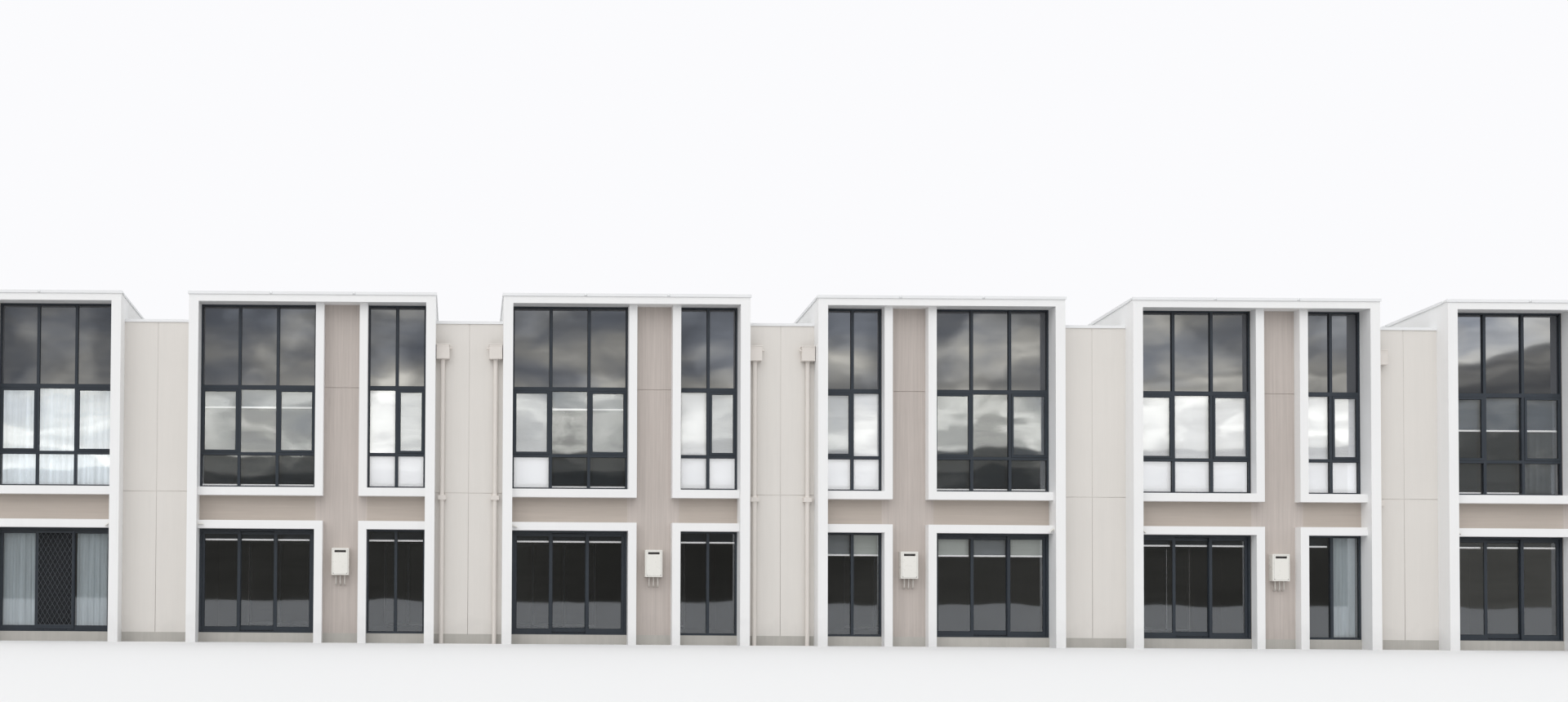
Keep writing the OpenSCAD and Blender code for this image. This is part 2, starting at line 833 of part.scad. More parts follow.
// A flat lattice that fills the screen door: diamond holes in rows, cut off at its border.
module screen_mesh() {
    w = leaf_w - 2 * screen_stile_w;
    h = moving_z1 - screen_stile_w - moving_z0 - kick_h;
    y0 = lane_screen + (screen_t - mesh_t) / 2;
    cols = round(w / diamond_w);
    rows = round(h / diamond_h);
    cell = [(w - 2 * mesh_bar) / cols, (h - 2 * mesh_bar) / rows];
    shrink = mesh_bar / 2 * norm(cell);
    a = cell[0] / 2 - shrink / cell[1];
    b = cell[1] / 2 - shrink / cell[0];
    low = [mesh_bar - 0.01, mesh_bar - 0.01];
    high = [w, h] - low;
    function inside(p) = p[0] > low[0] && p[0] < high[0] && p[1] > low[1] && p[1] < high[1];
    centres = [for (i = [0 : 2 * cols], j = [0 : 2 * rows]) if ((i + j) % 2 == 0)
        [mesh_bar + i * cell[0] / 2, mesh_bar + j * cell[1] / 2]];
    holes = [for (c = centres)
        let (corners = [for (p = [[-a, 0], [0, -b], [a, 0], [0, b]]) if (inside(c + p)) c + p])
            len(corners) == 2 ? concat([c], corners) : corners];
    outer = [[0, 0], [w, 0], [w, h], [0, h]];
    loops = concat([outer], holes);
    starts = [for (k = 0, n = 0; k < len(loops); n = n + len(loops[k]), k = k + 1) n];
    paths = [for (k = [0 : len(loops) - 1]) [for (n = [0 : len(loops[k]) - 1]) starts[k] + n]];
    color(charcoal)
        in_house(0)
            translate([leaf_x + screen_stile_w, 0, moving_z0 + kick_h])
                along_y(y0, y0 + mesh_t)
                    polygon([for (loop = loops) each loop], paths);
}

// Rear side

module rear_piers() {
    color(beige) {
        for (k = [0 : houses])
            block(bay_x0(k) - (k == 0 ? 0 : fin_w), bay_x1(k) + (k == houses ? 0 : fin_w),
                  y_rear_in, y_rear, floor0, infill_top);
        each_house() block(x_wide1, x_narrow0, y_rear_in, y_rear, floor0, ceiling1);
    }
}

module rear_panels() {
    color(beige) {
        each_house()
            for (x = [[x_wide0, x_wide1], [x_narrow0, x_narrow1]])
                block(x[0], x[1], y_rear_in, y_rear, head0, sill1);
        each_house()
            along_x(x_wide0, x_narrow1)
                polygon([
                    [y_rear_in, ceiling1], [y_rear, ceiling1],
                    [y_rear, box_roof_z(y_rear) - sheet_t / cos(box_slope) - seat],
                    [y_rear_in, box_roof_z(y_rear_in) - sheet_t / cos(box_slope) - seat]
                ]);
    }
}

module rear_frames() {
    color(charcoal)
        each_house()
            for (o = [[x_wide0, wide_w, 3], [x_narrow0, narrow_w, 2]]) {
                window_frame(o[0], o[1], o[2], [low_row, rear_mid_row], sill1, ceiling1, y_rear_frame);
                window_frame(o[0], o[1], o[2], [ground_row], floor0, head0, y_rear_frame);
            }
}

module rear_glass() {
    y = y_rear_frame + (frame_d - glass_t) / 2;
    color("lightsteelblue")
        each_house()
            for (o = [[x_wide0, wide_w, 3], [x_narrow0, narrow_w, 2]])
                glass_panes(panes(o[0], o[1], o[2], [low_row, rear_mid_row, ground_row]), y);
}

rear_gutter_top = box_roof_z(y_rear + eaves) - sheet_t / cos(box_slope) - gutter_gap;

module rear_gutters() {
    z0 = rear_gutter_top - rear_gutter_h;
    y1 = y_rear + rear_gutter_w;
    color("lightgray")
        each_house()
            difference() {
                block(x_wide0, x_narrow1, y_rear, y1, z0, rear_gutter_top);
                block(x_wide0 + pipe_t, x_narrow1 - pipe_t, y_rear + pipe_t, y1 - pipe_t, z0 + pipe_t,
                      rear_gutter_top + 1);
            }
}

module rear_downpipes() {
    x = x_wide0 + pipe_d;
    color(beige)
        each_house()
            translate([x, y_rear + pipe_out - (pipe_out - pipe_d / 2) / 2, 0])
                pipe(0, rear_gutter_top - rear_gutter_h);
}

// Behind the glass. Blinds hang by column from the heads of their openings.

full_drop = ceiling1 - sill1 - cloth_up;
// Drops of the blinds of each house: three wide columns from the fin, then the two narrow ones.
upper_drops = [
    [0, 0, 0, full_drop, full_drop],
    [part_drop, part_drop, part_drop, full_drop, full_drop],
    [full_drop, part_drop, part_drop, full_drop, full_drop],
    [0, 0, 0, full_drop, full_drop],
    [full_drop, full_drop, full_drop, full_drop, full_drop],
    [deep_drop, deep_drop, 0, full_drop, full_drop]
];
ground_drops = [
    [0, 0, 0, short_drop, short_drop],
    [short_drop, short_drop, short_drop, short_drop, short_drop],
    [short_drop, short_drop, short_drop, short_drop, short_drop],
    [long_drop, long_drop, long_drop, long_drop, long_drop],
    [short_drop, short_drop, short_drop, short_drop, 0],
    [short_drop, short_drop, short_drop, short_drop, short_drop]
];

// The columns of a storey as [x0, x1].
all_columns = concat(panes(x_wide0, wide_w, 3, [[0, 1]]), panes(x_narrow0, narrow_w, 2, [[0, 1]]));
columns = [for (p = all_columns) [p[0] - frame_w / 3, p[1] + frame_w / 3]];

module blinds(drops, y, z) {
    for (i = [0 : houses - 1])
        in_house(i)
            for (c = [0 : len(columns) - 1])
                if (drops[i][c] > 0)
                    block(columns[c][0], columns[c][1], y, y + blind_t, z - drops[i][c], z);
}

// See-through blinds hang behind the others in some columns, down to the sill.
screen_drops = [for (down = [[0, 0, 0], [1, 1, 1], [0, 1, 1], [1, 1, 1], [0, 0, 0], [1, 1, 0]])
    [for (c = [0 : 4]) c < 3 ? down[c] * full_drop : 0]];

module upper_blinds() {
    y = y_frame + frame_d + blind_gap;
    color("white") {
        blinds(upper_drops, y, ceiling1);
        blinds(screen_drops, y + blind_t + blind_gap, ceiling1);
    }
}

y_ground_blind = door_y + door_frame_d + blind_gap;

module ground_blinds() {
    color("white") blinds(ground_drops, y_ground_blind, head0);
}

module rear_blinds() {
    y = y_rear_frame - blind_gap - blind_t;
    color("white")
        each_house()
            for (c = columns) {
                block(c[0], c[1], y, y + blind_t, sill1 + cloth_up, ceiling1);
                block(c[0], c[1], y, y + blind_t, floor0 + cloth_up, head0);
            }
}

// Curtains as [house, storey, columns from and to].
curtain_places = [[0, 1, 0, 2], [5, 1, 2, 2], [0, 0, 0, 0], [0, 0, 2, 2], [4, 0, 4, 4]];

module curtains() {
    color("white")
        for (c = curtain_places) {
            z = c[1] == 1 ? [sill1, ceiling1] : [floor0, head0];
            y = c[1] == 1 ? y_in - curtain_d - blind_gap : y_ground_blind;
            in_house(c[0])
                block(columns[c[2]][0], columns[c[3]][1], y, y + curtain_d, z[0] + cloth_up, z[1]);
        }
}

// A wall-hung box with chamfered front edges and a flue slot near its top.
module water_heaters() {
    x = (x_wide1 + x_narrow0) / 2;
    z0 = floor0 + heater_up;
    side = heater_w / 2;
    edge = heater_w / 2 - heater_chamfer;
    shoulder = heater_chamfer - heater_d;
    color("whitesmoke")
        each_house()
            difference() {
                translate([x, y_wall, z0])
                    linear_extrude(heater_h)
                        polygon([
                            [-side, 0], [-side, shoulder], [-edge, -heater_d],
                            [edge, -heater_d], [side, shoulder], [side, 0]
                        ]);
                block(x - heater_w / 3, x + heater_w / 3,
                      y_wall - heater_d - 1, y_wall - heater_d * 0.8,
                      z0 + heater_h - 2 * flue_h, z0 + heater_h - flue_h);
            }
}

ground_slab();
first_floors();
ceilings();
party_walls();
end_walls();
end_caps();
box_fins();
box_top_bands();
box_front_caps();
box_side_walls();
box_side_caps();
box_roofs();
front_piers();
front_spandrels();
surround_fins();
surround_bands();
infill_walls();
infill_caps();
infill_roofs();
box_gutters();
rain_heads();
downpipes();
pipe_collars();
upper_frames();
awning_sashes();
spandrel_glass();
upper_glass();
ground_frames();
door_jambs();
door_heads();
door_sills();
fixed_leaves();
ground_glass();
rear_piers();
rear_panels();
rear_frames();
rear_glass();
rear_gutters();
rear_downpipes();
upper_blinds();
ground_blinds();
rear_blinds();
curtains();
water_heaters();
corner_lights();
door_leaf(0);  // door_leaf_1
door_leaf(1);  // door_leaf_2
door_leaf(2);  // door_leaf_3
door_leaf(3);  // door_leaf_4
door_leaf(4);  // door_leaf_5
door_leaf(5);  // door_leaf_6
door_glass(0);  // door_glass_1
door_glass(1);  // door_glass_2
door_glass(2);  // door_glass_3
door_glass(3);  // door_glass_4
door_glass(4);  // door_glass_5
door_glass(5);  // door_glass_6
screen_door();
screen_mesh();
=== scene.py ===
"""A row of six two-storey terraced houses, seen from the yard side under an overcast sky."""
import math

import bmesh
import bpy
import numpy as np
from mathutils import Matrix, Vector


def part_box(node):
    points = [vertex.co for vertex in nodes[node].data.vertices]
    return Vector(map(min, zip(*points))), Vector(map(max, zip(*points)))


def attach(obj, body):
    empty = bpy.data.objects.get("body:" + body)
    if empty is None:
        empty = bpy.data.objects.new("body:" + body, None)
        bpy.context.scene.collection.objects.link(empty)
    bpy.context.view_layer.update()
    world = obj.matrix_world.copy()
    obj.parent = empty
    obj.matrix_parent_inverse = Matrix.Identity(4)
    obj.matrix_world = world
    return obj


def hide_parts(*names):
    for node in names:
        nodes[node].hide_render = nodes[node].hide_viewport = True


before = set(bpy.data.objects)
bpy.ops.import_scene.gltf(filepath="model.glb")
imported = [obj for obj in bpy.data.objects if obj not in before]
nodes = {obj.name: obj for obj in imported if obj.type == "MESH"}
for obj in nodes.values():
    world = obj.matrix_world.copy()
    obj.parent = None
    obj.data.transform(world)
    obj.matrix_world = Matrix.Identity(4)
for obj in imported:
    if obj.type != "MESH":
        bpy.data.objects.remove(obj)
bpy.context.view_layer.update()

# The view from across the yard.
# The camera stands low, about 40 m in front, looks straight at the fronts and a little up, and is rolled
# by a third of a degree. The shift carries the part of the row that lies to its right into the frame.
PHOTO_W = 1920
PHOTO_MID_PX = (960, 430)
FOCAL_PX = 2353
VIEW_X_PX = 565
HORIZON_PX = 733
PITCH_UP = math.radians(1.6)
ROLL = math.radians(0.382)
SENSOR_MM = 36
FARTHEST = 2000

camera_data = bpy.data.cameras.new("yard_camera")
camera_data.sensor_width = SENSOR_MM
camera_data.lens = SENSOR_MM * FOCAL_PX / PHOTO_W
camera_data.shift_x = (PHOTO_MID_PX[0] - VIEW_X_PX) / PHOTO_W
camera_data.shift_y = (HORIZON_PX - PHOTO_MID_PX[1] - FOCAL_PX * math.tan(PITCH_UP)) / PHOTO_W
camera_data.clip_end = FARTHEST


def put_in(name, data):
    """Puts a camera, a lamp or a mesh into the scene as an object."""
    made = bpy.data.objects.new(name, data)
    bpy.context.collection.objects.link(made)
    return made


camera = put_in("yard_camera", camera_data)
camera.location = (-6.64, -44.80, 0.94)
camera.rotation_euler = (Matrix.Rotation(math.pi / 2 + PITCH_UP, 3, "X") @ Matrix.Rotation(ROLL, 3, "Z")).to_euler()
bpy.context.scene.camera = camera
bpy.context.scene.view_settings.view_transform = "Standard"

# The studio: a pale floor that runs to the horizon, and an even overcast sky.
# The sky lights the row, a little more from above than from the side, and one wide soft sun adds the weak
# shade under the bands. Glass and metal mirror a cloudy sky, in which the lowest few degrees are darker.


def node(tree, kind, inputs=(), **settings):
    """Adds a node, sets its properties, and joins or sets its inputs: a socket is linked, a value is set."""
    made = tree.nodes.new("ShaderNode" + kind)
    for key, value in settings.items():
        setattr(made, key, value)
    for key, value in dict(inputs).items():
        if isinstance(value, bpy.types.NodeSocket):
            tree.links.new(value, made.inputs[key])
        else:
            made.inputs[key].default_value = value
    return made


def new_material(name, finish=()):
    """A material with one Principled shader, whose inputs get the finish's fixed values. Returns its tree too."""
    material = bpy.data.materials.new(name)
    material.use_nodes = True
    tree = material.node_tree
    tree.nodes.clear()
    shader = node(tree, "BsdfPrincipled", finish)
    node(tree, "OutputMaterial", {"Surface": shader.outputs[0]})
    return material, tree, shader


def calculate(tree, operation, *values):
    """One step of arithmetic on the values."""
    return node(tree, "Math", dict(enumerate(values)), operation=operation).outputs[0]


def product(tree, *values):
    """The product of several values."""
    result = values[0]
    for value in values[1:]:
        result = calculate(tree, "MULTIPLY", result, value)
    return result


def tone(tree, value, low, high, start=0.3, end=0.7):
    """Maps a value from start..end to low..high, without passing either end."""
    return node(tree, "MapRange", {"Value": value, "From Min": start, "From Max": end,
                                   "To Min": low, "To Max": high}).outputs[0]


def grey(tree, value):
    """The grey of a lightness."""
    return node(tree, "CombineColor", {0: value, 1: value, 2: value}).outputs[0]


def rays(tree):
    """What kind of ray meets this place, and whether it comes from the camera, straight or through a pane."""
    paths = node(tree, "LightPath").outputs
    return paths, calculate(tree, "MAXIMUM", paths["Is Camera Ray"], paths["Is Transmission Ray"])


def mesh_of(name, shape, material):
    """A mesh from points and lists of faces, in its material, with shading that blends round its edges."""
    points, faces = shape
    mesh = bpy.data.meshes.new(name)
    mesh.from_pydata(points, [], [face for kind in faces for face in kind], shade_flat=False)
    mesh.materials.append(material)
    return mesh


FLOOR_HALF = 600
FLOOR_LIT, FLOOR_SEEN = 0.50, 0.80
floor_material, tree, shader = new_material("studio_floor", {"Roughness": 0.9})
tree.links.new(grey(tree, tone(tree, rays(tree)[1], FLOOR_LIT, FLOOR_SEEN, 0, 1)), shader.inputs["Base Color"])
floor_corners = FLOOR_HALF * np.array([(-1, -1, 0), (1, -1, 0), (1, 1, 0), (-1, 1, 0)])
put_in("studio_floor", mesh_of("studio_floor", (floor_corners, [[(0, 1, 2, 3)]]), floor_material))

SKY_LIGHT = (1.20, 1.24)
BACKDROP = (0.965, 0.965, 0.985, 1)
MIRROR_STRENGTH = 2.95
world = bpy.data.worlds.new("overcast")
bpy.context.scene.world = world
world.use_nodes = True
tree = world.node_tree
tree.nodes.clear()
direction = node(tree, "TexCoord").outputs["Generated"]
parts = node(tree, "SeparateXYZ", {0: direction}).outputs
height, side = parts["Z"], parts["X"]


def scaled(tree, vector, scale):
    """A vector times a scale by axis."""
    return node(tree, "Mapping", {"Vector": vector, "Scale": scale}).outputs[0]


def sky_noise(flatness, scale, detail, **more):
    """Noise over the sky by the direction of view, in shapes flattened by the given number."""
    return node(tree, "TexNoise", {"Vector": scaled(tree, direction, (1, 1, flatness)), "Scale": scale,
                                   "Detail": detail, **more}).outputs[0]


# The tone by height, with edges that drift with the clouds: warm near the horizon, and cool above.
SKY_STOPS = ((0.0, 0.55), (0.072, 0.55), (0.080, 1.0), (0.086, 1.0), (0.102, 0.60), (0.116, 0.48),
             (0.134, 0.34), (0.155, 0.25), (0.24, 0.27), (0.6, 0.30), (1.0, 0.33))
WARM, COOL = np.array((1.03, 1.0, 0.91)), np.array((0.93, 1.0, 1.13))
COOL_START, COOL_WIDTH = 0.105, 0.05
drift = tone(tree, sky_noise(2.4, 15.0, 8.0, Roughness=0.55, Distortion=0.5), -0.030, 0.030, 0.35, 0.65)
cloud_tone = node(tree, "ValToRGB", {"Fac": calculate(tree, "ADD", height, drift)})
ramp = cloud_tone.color_ramp
for place, value in SKY_STOPS:
    stop = ramp.elements[0] if place == 0 else ramp.elements[-1] if place == 1 else ramp.elements.new(place)
    cool = min(max((place - COOL_START) / COOL_WIDTH, 0), 1)
    stop.color = (*(value * (WARM + (COOL - WARM) * cool)), 1)

# Heaps of cloud above, and the factors of the tone from one side to the other, above and below the sills.
high_up = tone(tree, height, 0.22, 1.0, 0.098, 0.112)
low_down = tone(tree, height, 1.0, 0.0, 0.104, 0.112)
heaps = tone(tree, sky_noise(1.5, 19.0, 6.0), -0.16, 0.62, 0.49, 0.60)
mirror_tone = calculate(tree, "ADD", product(tree, heaps, high_up), 1.0)
SIDE_FACTORS = ((high_up, 0.62, 1.0, -0.20, -0.09), (high_up, 1.0, 1.35, 0.36, 0.48),
                (low_down, 0.90, 0.70, 0.0, 0.08), (low_down, 1.0, 1.5, 0.15, 0.22),
                (low_down, 1.0, 0.84, 0.295, 0.33), (high_up, 1.0, 1.4, 0.43, 0.45))
for share, *factor in SIDE_FACTORS:
    mirror_tone = product(tree, mirror_tone, tone(tree, product(tree, side, share), *factor))

# The darker lowest degrees: two bands with soft uneven tops, a little higher to the right.
DARK_BANDS = ((0.17, 0.0715, 0.0775), (0.38, 0.0610, 0.0680))
BAND_SOFT = 0.0012
RIGHT_END, RIGHT_LIFT = (0.43, 0.45), 1.6
RISES = ((0.0, 0.036, 0.448, 0.452), (-0.013, 0.0, -0.20, -0.14), (0.0, 0.020, 0.46, 0.56))
uneven = sky_noise(0.05, 17.0, 3.0)
rise = 0.0
for by_side in RISES:
    rise = calculate(tree, "ADD", rise, tone(tree, side, *by_side))
for band_tone, lowest, highest in DARK_BANDS:
    top = calculate(tree, "ADD", tone(tree, uneven, lowest, highest), rise)
    band = tone(tree, side, band_tone, RIGHT_LIFT * band_tone, *RIGHT_END)
    mirror_tone = product(tree, mirror_tone,
                          tone(tree, height, band, 1.0, top, calculate(tree, "ADD", top, BAND_SOFT)))
streaks = tone(tree, sky_noise(14, 24.0, 4.0), 0.86, 1.12)

paths, seen = rays(tree)
light = node(tree, "Background", {"Strength": tone(tree, height, *SKY_LIGHT, 0.0, 1.0)})
mirror = node(tree, "Background", {"Color": cloud_tone.outputs[0],
                                   "Strength": product(tree, mirror_tone, streaks, MIRROR_STRENGTH)})
plain = node(tree, "Background", {"Color": BACKDROP, "Strength": 1.0})
lit = node(tree, "MixShader", {0: paths["Is Glossy Ray"], 1: light.outputs[0], 2: mirror.outputs[0]})
shown = node(tree, "MixShader", {0: seen, 1: lit.outputs[0], 2: plain.outputs[0]})
node(tree, "OutputWorld", {"Surface": shown.outputs[0]})

sun_data = bpy.data.lights.new("soft_sun", "SUN")
sun_data.energy = 0.9
sun_data.angle = math.radians(60)
sun = put_in("soft_sun", sun_data)
sun.rotation_euler = (math.radians(54), 0, math.radians(-24))
sun.visible_glossy = False

# Render on the walls.
# The boxes and surrounds have white painted render, the infill bays, ends and rear the same in warm beige,
# and the piers and spandrels a bare taupe coat that keeps the strokes of the trowel.


def linear(red, green, blue):
    """A colour seen as 0 to 255, as the linear value that a shader takes."""
    seen = np.array([red, green, blue]) / 255
    return (*np.where(seen <= 0.04045, seen / 12.92, ((seen + 0.055) / 1.055) ** 2.4), 1)


def object_axes(tree):
    """The place on the object, by axis."""
    return node(tree, "SeparateXYZ", {0: node(tree, "TexCoord").outputs["Object"]}).outputs


def scaled_noise(tree, scale, detail=3.0, stretch=(1, 1, 1)):
    """Noise of a number of cells in a metre, on Object coordinates stretched by axis. Returns its value."""
    place = scaled(tree, node(tree, "TexCoord").outputs["Object"], stretch)
    return node(tree, "TexNoise", {"Vector": place, "Scale": scale, "Detail": detail}).outputs[0]


def noise_tone(tree, low, high, scale, detail=3.0, stretch=(1, 1, 1)):
    """A tone between a low and a high value, by noise."""
    return tone(tree, scaled_noise(tree, scale, detail, stretch), low, high)


def shade(tree, shader, colour, value):
    """Sets the shader's colour to the colour times the value."""
    mixed = node(tree, "Mix", {0: 1, 6: colour, 7: grey(tree, value)}, data_type="RGBA", blend_type="MULTIPLY")
    tree.links.new(mixed.outputs[2], shader.inputs["Base Color"])


def roughen(tree, shader, heights, strength, distance):
    """Adds a bump of the given heights to the shader."""
    bump = node(tree, "Bump", {"Height": heights, "Strength": strength, "Distance": distance})
    tree.links.new(bump.outputs[0], shader.inputs["Normal"])


ROOM_HALVES = (("X", 19.252), ("Y", 4.552), ("Z", 5.421))
# A mid grey that paints the shade inside the rooms.
ROOM_SHADE_GREY = linear(118, 116, 113)
SAND_CELLS = 260.0


def render_coat(name, colour, grain, streaks, patches, strokes=(1, 1, 0.05), stroke_scale=9.0):
    """Render: fine sand grain, patches a pace wide, strokes of the trowel, rain marks, and splashes at the foot.
    Faces within the rooms, by their distance from the middle of the row and their height, get a mid grey that paints
    the shade inside the rooms."""
    material, tree, shader = new_material(name)
    place = object_axes(tree)
    patch = noise_tone(tree, 1 - patches, 1 + patches, 0.55, 4.0)
    streak = noise_tone(tree, 1 - streaks, 1 + streaks, stroke_scale, 5.0, strokes)
    fine = noise_tone(tree, 1 - streaks / 2, 1 + streaks / 2, stroke_scale * 4, 3.0, strokes)
    sand = scaled_noise(tree, SAND_CELLS, 2.0)
    speck = tone(tree, sand, 0.985, 1.015)
    above_splash = calculate(tree, "SUBTRACT", place["Z"], scaled_noise(tree, 3.0, 4.0))
    weather = product(tree, patch, streak, fine, speck, tone(tree, above_splash, 0.90, 1.0, -0.6, 0.05))
    within = product(tree, *[calculate(tree, "LESS_THAN", calculate(tree, "ABSOLUTE", place[axis]), half)
                             for axis, half in ROOM_HALVES])
    # Painted shade: inside the rooms the coat gives way to the mid grey.
    coat = node(tree, "Mix", {0: within, 6: colour, 7: ROOM_SHADE_GREY}, data_type="RGBA")
    shade(tree, shader, coat.outputs[2], weather)
    tree.links.new(noise_tone(tree, 0.80, 0.92, 4.0), shader.inputs["Roughness"])
    surface = calculate(tree, "ADD", sand, scaled_noise(tree, stroke_scale * 2, 3.0, strokes))
    roughen(tree, shader, surface, grain, 0.002)
    return material


def dress(material, *names):
    """Gives the material to every slot of the named CAD nodes."""
    for name in names:
        for place in nodes[name].material_slots:
            place.material = material


white_render = render_coat("white_render", linear(241, 241, 241), 0.30, 0.006, 0.010)
beige_render = render_coat("beige_render", linear(223, 219, 214), 0.35, 0.010, 0.016)
taupe_render = render_coat("taupe_render", linear(193, 184, 178), 0.6, 0.060, 0.025, (1, 1, 0.018), 26.0)
spandrel_render = render_coat("spandrel_render", linear(186, 176, 167), 0.6, 0.035, 0.025, (0.03, 1, 1), 16.0)
dress(white_render, "box_fins", "box_top_bands", "box_side_walls", "surround_fins", "surround_bands")
dress(beige_render, "end_walls", "infill_walls", "rear_piers", "rear_panels")
dress(taupe_render, "front_piers")
dress(spandrel_render, "front_spandrels")

# Sealant in the open joints of the bays.
# A strip of soft grey sealant lies a few millimetres inside each upright joint, and inside each level joint
# between the storeys.


def mottled(name, colour, roughness, cells, darkest, lightest, alpha=1.0):
    """A plain finish whose tone changes a little, by noise of a number of cells in a metre."""
    material, tree, shader = new_material(name, {"Roughness": roughness, "Alpha": alpha})
    shade(tree, shader, colour, noise_tone(tree, darkest, lightest, cells))
    return material


def corners_of(name):
    """The places of the corners of a CAD node."""
    mesh = nodes[name].data
    corners = np.empty(len(mesh.vertices) * 3)
    mesh.vertices.foreach_get("co", corners)
    return corners.reshape(-1, 3)


def solids(name):
    """The boxes of a CAD node's separate solids, as two arrays of corners, low and high, sorted from the left.
    Corners that meet are merged, and the lowest label of a solid spreads along its edges until none changes."""
    corners = corners_of(name)
    mesh = nodes[name].data
    ends = np.empty(len(mesh.edges) * 2, int)
    mesh.edges.foreach_get("vertices", ends)
    merged = np.unique(np.round(corners, 4), axis=0, return_inverse=True)[1].reshape(-1)
    start, end = merged[ends.reshape(-1, 2)].T
    label = np.arange(merged.max() + 1)
    while True:
        lowest = label.copy()
        np.minimum.at(lowest, start, label[end])
        np.minimum.at(lowest, end, label[start])
        lowest = lowest[lowest]
        if (lowest == label).all():
            break
        label = lowest
    order = np.argsort(label[merged], kind="stable")
    cuts = np.flatnonzero(np.diff(label[merged][order], prepend=-1))
    low = np.minimum.reduceat(corners[order], cuts)
    high = np.maximum.reduceat(corners[order], cuts)
    left_first = np.lexsort((low[:, 1], low[:, 2].round(3), low[:, 0].round(3)))
    return low[left_first], high[left_first]


def around(middle, half):
    """The values half a width below and above the middle."""
    return middle - half, middle + half


def past(face, reach):
    """The values two reaches past a face."""
    return face + reach[0], face + reach[1]


def blocks(x, y, z):
    """Blocks between the low and the high values on each axis: corner k takes the high one where k's bit is set."""
    ends = np.stack(np.broadcast_arrays(*x, *y, *z), -1).reshape(-1, 3, 2)
    low, high = ends[..., 0], ends[..., 1]
    bits = np.array([(k >> 2 & 1, k >> 1 & 1, k & 1) for k in range(8)])
    sides = np.array([(0, 1, 3, 2), (4, 6, 7, 5), (0, 4, 5, 1), (2, 3, 7, 6), (0, 2, 6, 4), (1, 5, 7, 3)])
    points = low[:, None] + bits * (high - low)[:, None]
    return points.reshape(-1, 3), [(sides + 8 * np.arange(len(low))[:, None, None]).reshape(-1, 4)]


def together(*parts):
    """Several sets of points and faces as one: each set's faces count on from the points before it."""
    starts = np.cumsum([0] + [len(points) for points, _ in parts])
    return (np.concatenate([points for points, _ in parts]),
            [kind + start for (_, faces), start in zip(parts, starts) for kind in faces])


EDGE_ANGLE = math.radians(40)


def shell(name, shape, material, body="root", bevel=0.0, crisp=False):
    """A piece made of closed shells: doubles are merged, faces turned outwards, and it rides on its body.
    The edges sharper than EDGE_ANGLE get the bevel, and are shaded sharp when it is crisp."""
    mesh = mesh_of(name, shape, material)
    work = bmesh.new()
    work.from_mesh(mesh)
    bmesh.ops.remove_doubles(work, verts=work.verts, dist=1e-6)
    bmesh.ops.dissolve_degenerate(work, edges=work.edges, dist=1e-7)
    bmesh.ops.recalc_face_normals(work, faces=work.faces)
    work.to_mesh(mesh)
    work.free()
    if crisp:
        mesh.set_sharp_from_angle(angle=EDGE_ANGLE)
    made = put_in(name, mesh)
    if bevel:
        rounding = made.modifiers.new("rounding", "BEVEL")
        rounding.width = bevel
        rounding.segments = 2
        rounding.angle_limit = EDGE_ANGLE
    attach(made, body)


SEALANT_HALF_W = 0.006
UPRIGHT_IN = (0.003, 0.012)
LEVEL_IN = (0.004, 0.012)
BAY_JOINT_Z = 3.135
sealant = mottled("joint_sealant", linear(214, 209, 204), 0.6, 30.0, 0.94, 1.04)
low, high = solids("infill_walls")
front = low[:, 1]
upright = blocks(around((low + high)[1:-1, 0] / 2, SEALANT_HALF_W), past(front[1:-1], UPRIGHT_IN),
                 (low[1:-1, 2], high[1:-1, 2]))
level = blocks((low[:, 0], high[:, 0]), past(front, LEVEL_IN), around(BAY_JOINT_Z, SEALANT_HALF_W))
shell("joint_sealant", together(upright, level), sealant)

# Floors, ceilings and party walls.
# A cast slab lies under the row. The board floors, and the plain ceilings and walls, whose mid grey paints the
# shade of the rooms, show only through glass.
BOARD_W = 0.13
BOARD_GAP = 0.004
concrete = render_coat("concrete", linear(186, 183, 177), 0.8, 0.03, 0.05)
dress(concrete, "ground_slab")
# Painted shade: the ceilings and party walls take the mid grey of the rooms' shade.
painted_room_shade = render_coat("painted_room_shade", ROOM_SHADE_GREY, 0.2, 0.0, 0.01)
dress(painted_room_shade, "ceilings", "party_walls")
boards, tree, shader = new_material("floor_boards", {"Roughness": 0.5})
across = object_axes(tree)["X"]
board = calculate(tree, "SNAP", across, BOARD_W)
board_tone = node(tree, "TexWhiteNoise", {"W": board}, noise_dimensions="1D").outputs["Value"]
off_gap = calculate(tree, "GREATER_THAN", calculate(tree, "FLOORED_MODULO", across, BOARD_W), BOARD_GAP)
grain = noise_tone(tree, 0.85, 1.1, 30.0, 5.0, (1, 0.05, 1))
shade(tree, shader, linear(150, 122, 92),
      product(tree, grain, tone(tree, board_tone, 0.88, 1.08, 0, 1), tone(tree, off_gap, 0.45, 1.0, 0, 1)))
dress(boards, "first_floors")

# Caps on the parapets.
# Folded metal with a satin coat, butted end to end on top of the walls, with a folded strap over the joints.


def coated_metal(name, colour, roughness, wear, peel, **finish):
    """Painted metal: a thin even coat with slow changes of tone, light dust and the slight ripple of the paint."""
    material, tree, shader = new_material(name, finish)
    slow = noise_tone(tree, 1 - wear, 1 + wear, 1.3, 4.0)
    dust = noise_tone(tree, 1 - wear / 2, 1 + wear / 3, 45.0)
    shade(tree, shader, colour, product(tree, slow, dust))
    tree.links.new(noise_tone(tree, roughness - 0.06, roughness + 0.08, 14.0), shader.inputs["Roughness"])
    roughen(tree, shader, scaled_noise(tree, 420.0, 1.0), peel, 0.0006)
    return material


def spots(x, y, z):
    """A list of points from their values on each axis."""
    return np.stack(np.broadcast_arrays(x, y, z), -1).reshape(-1, 3)


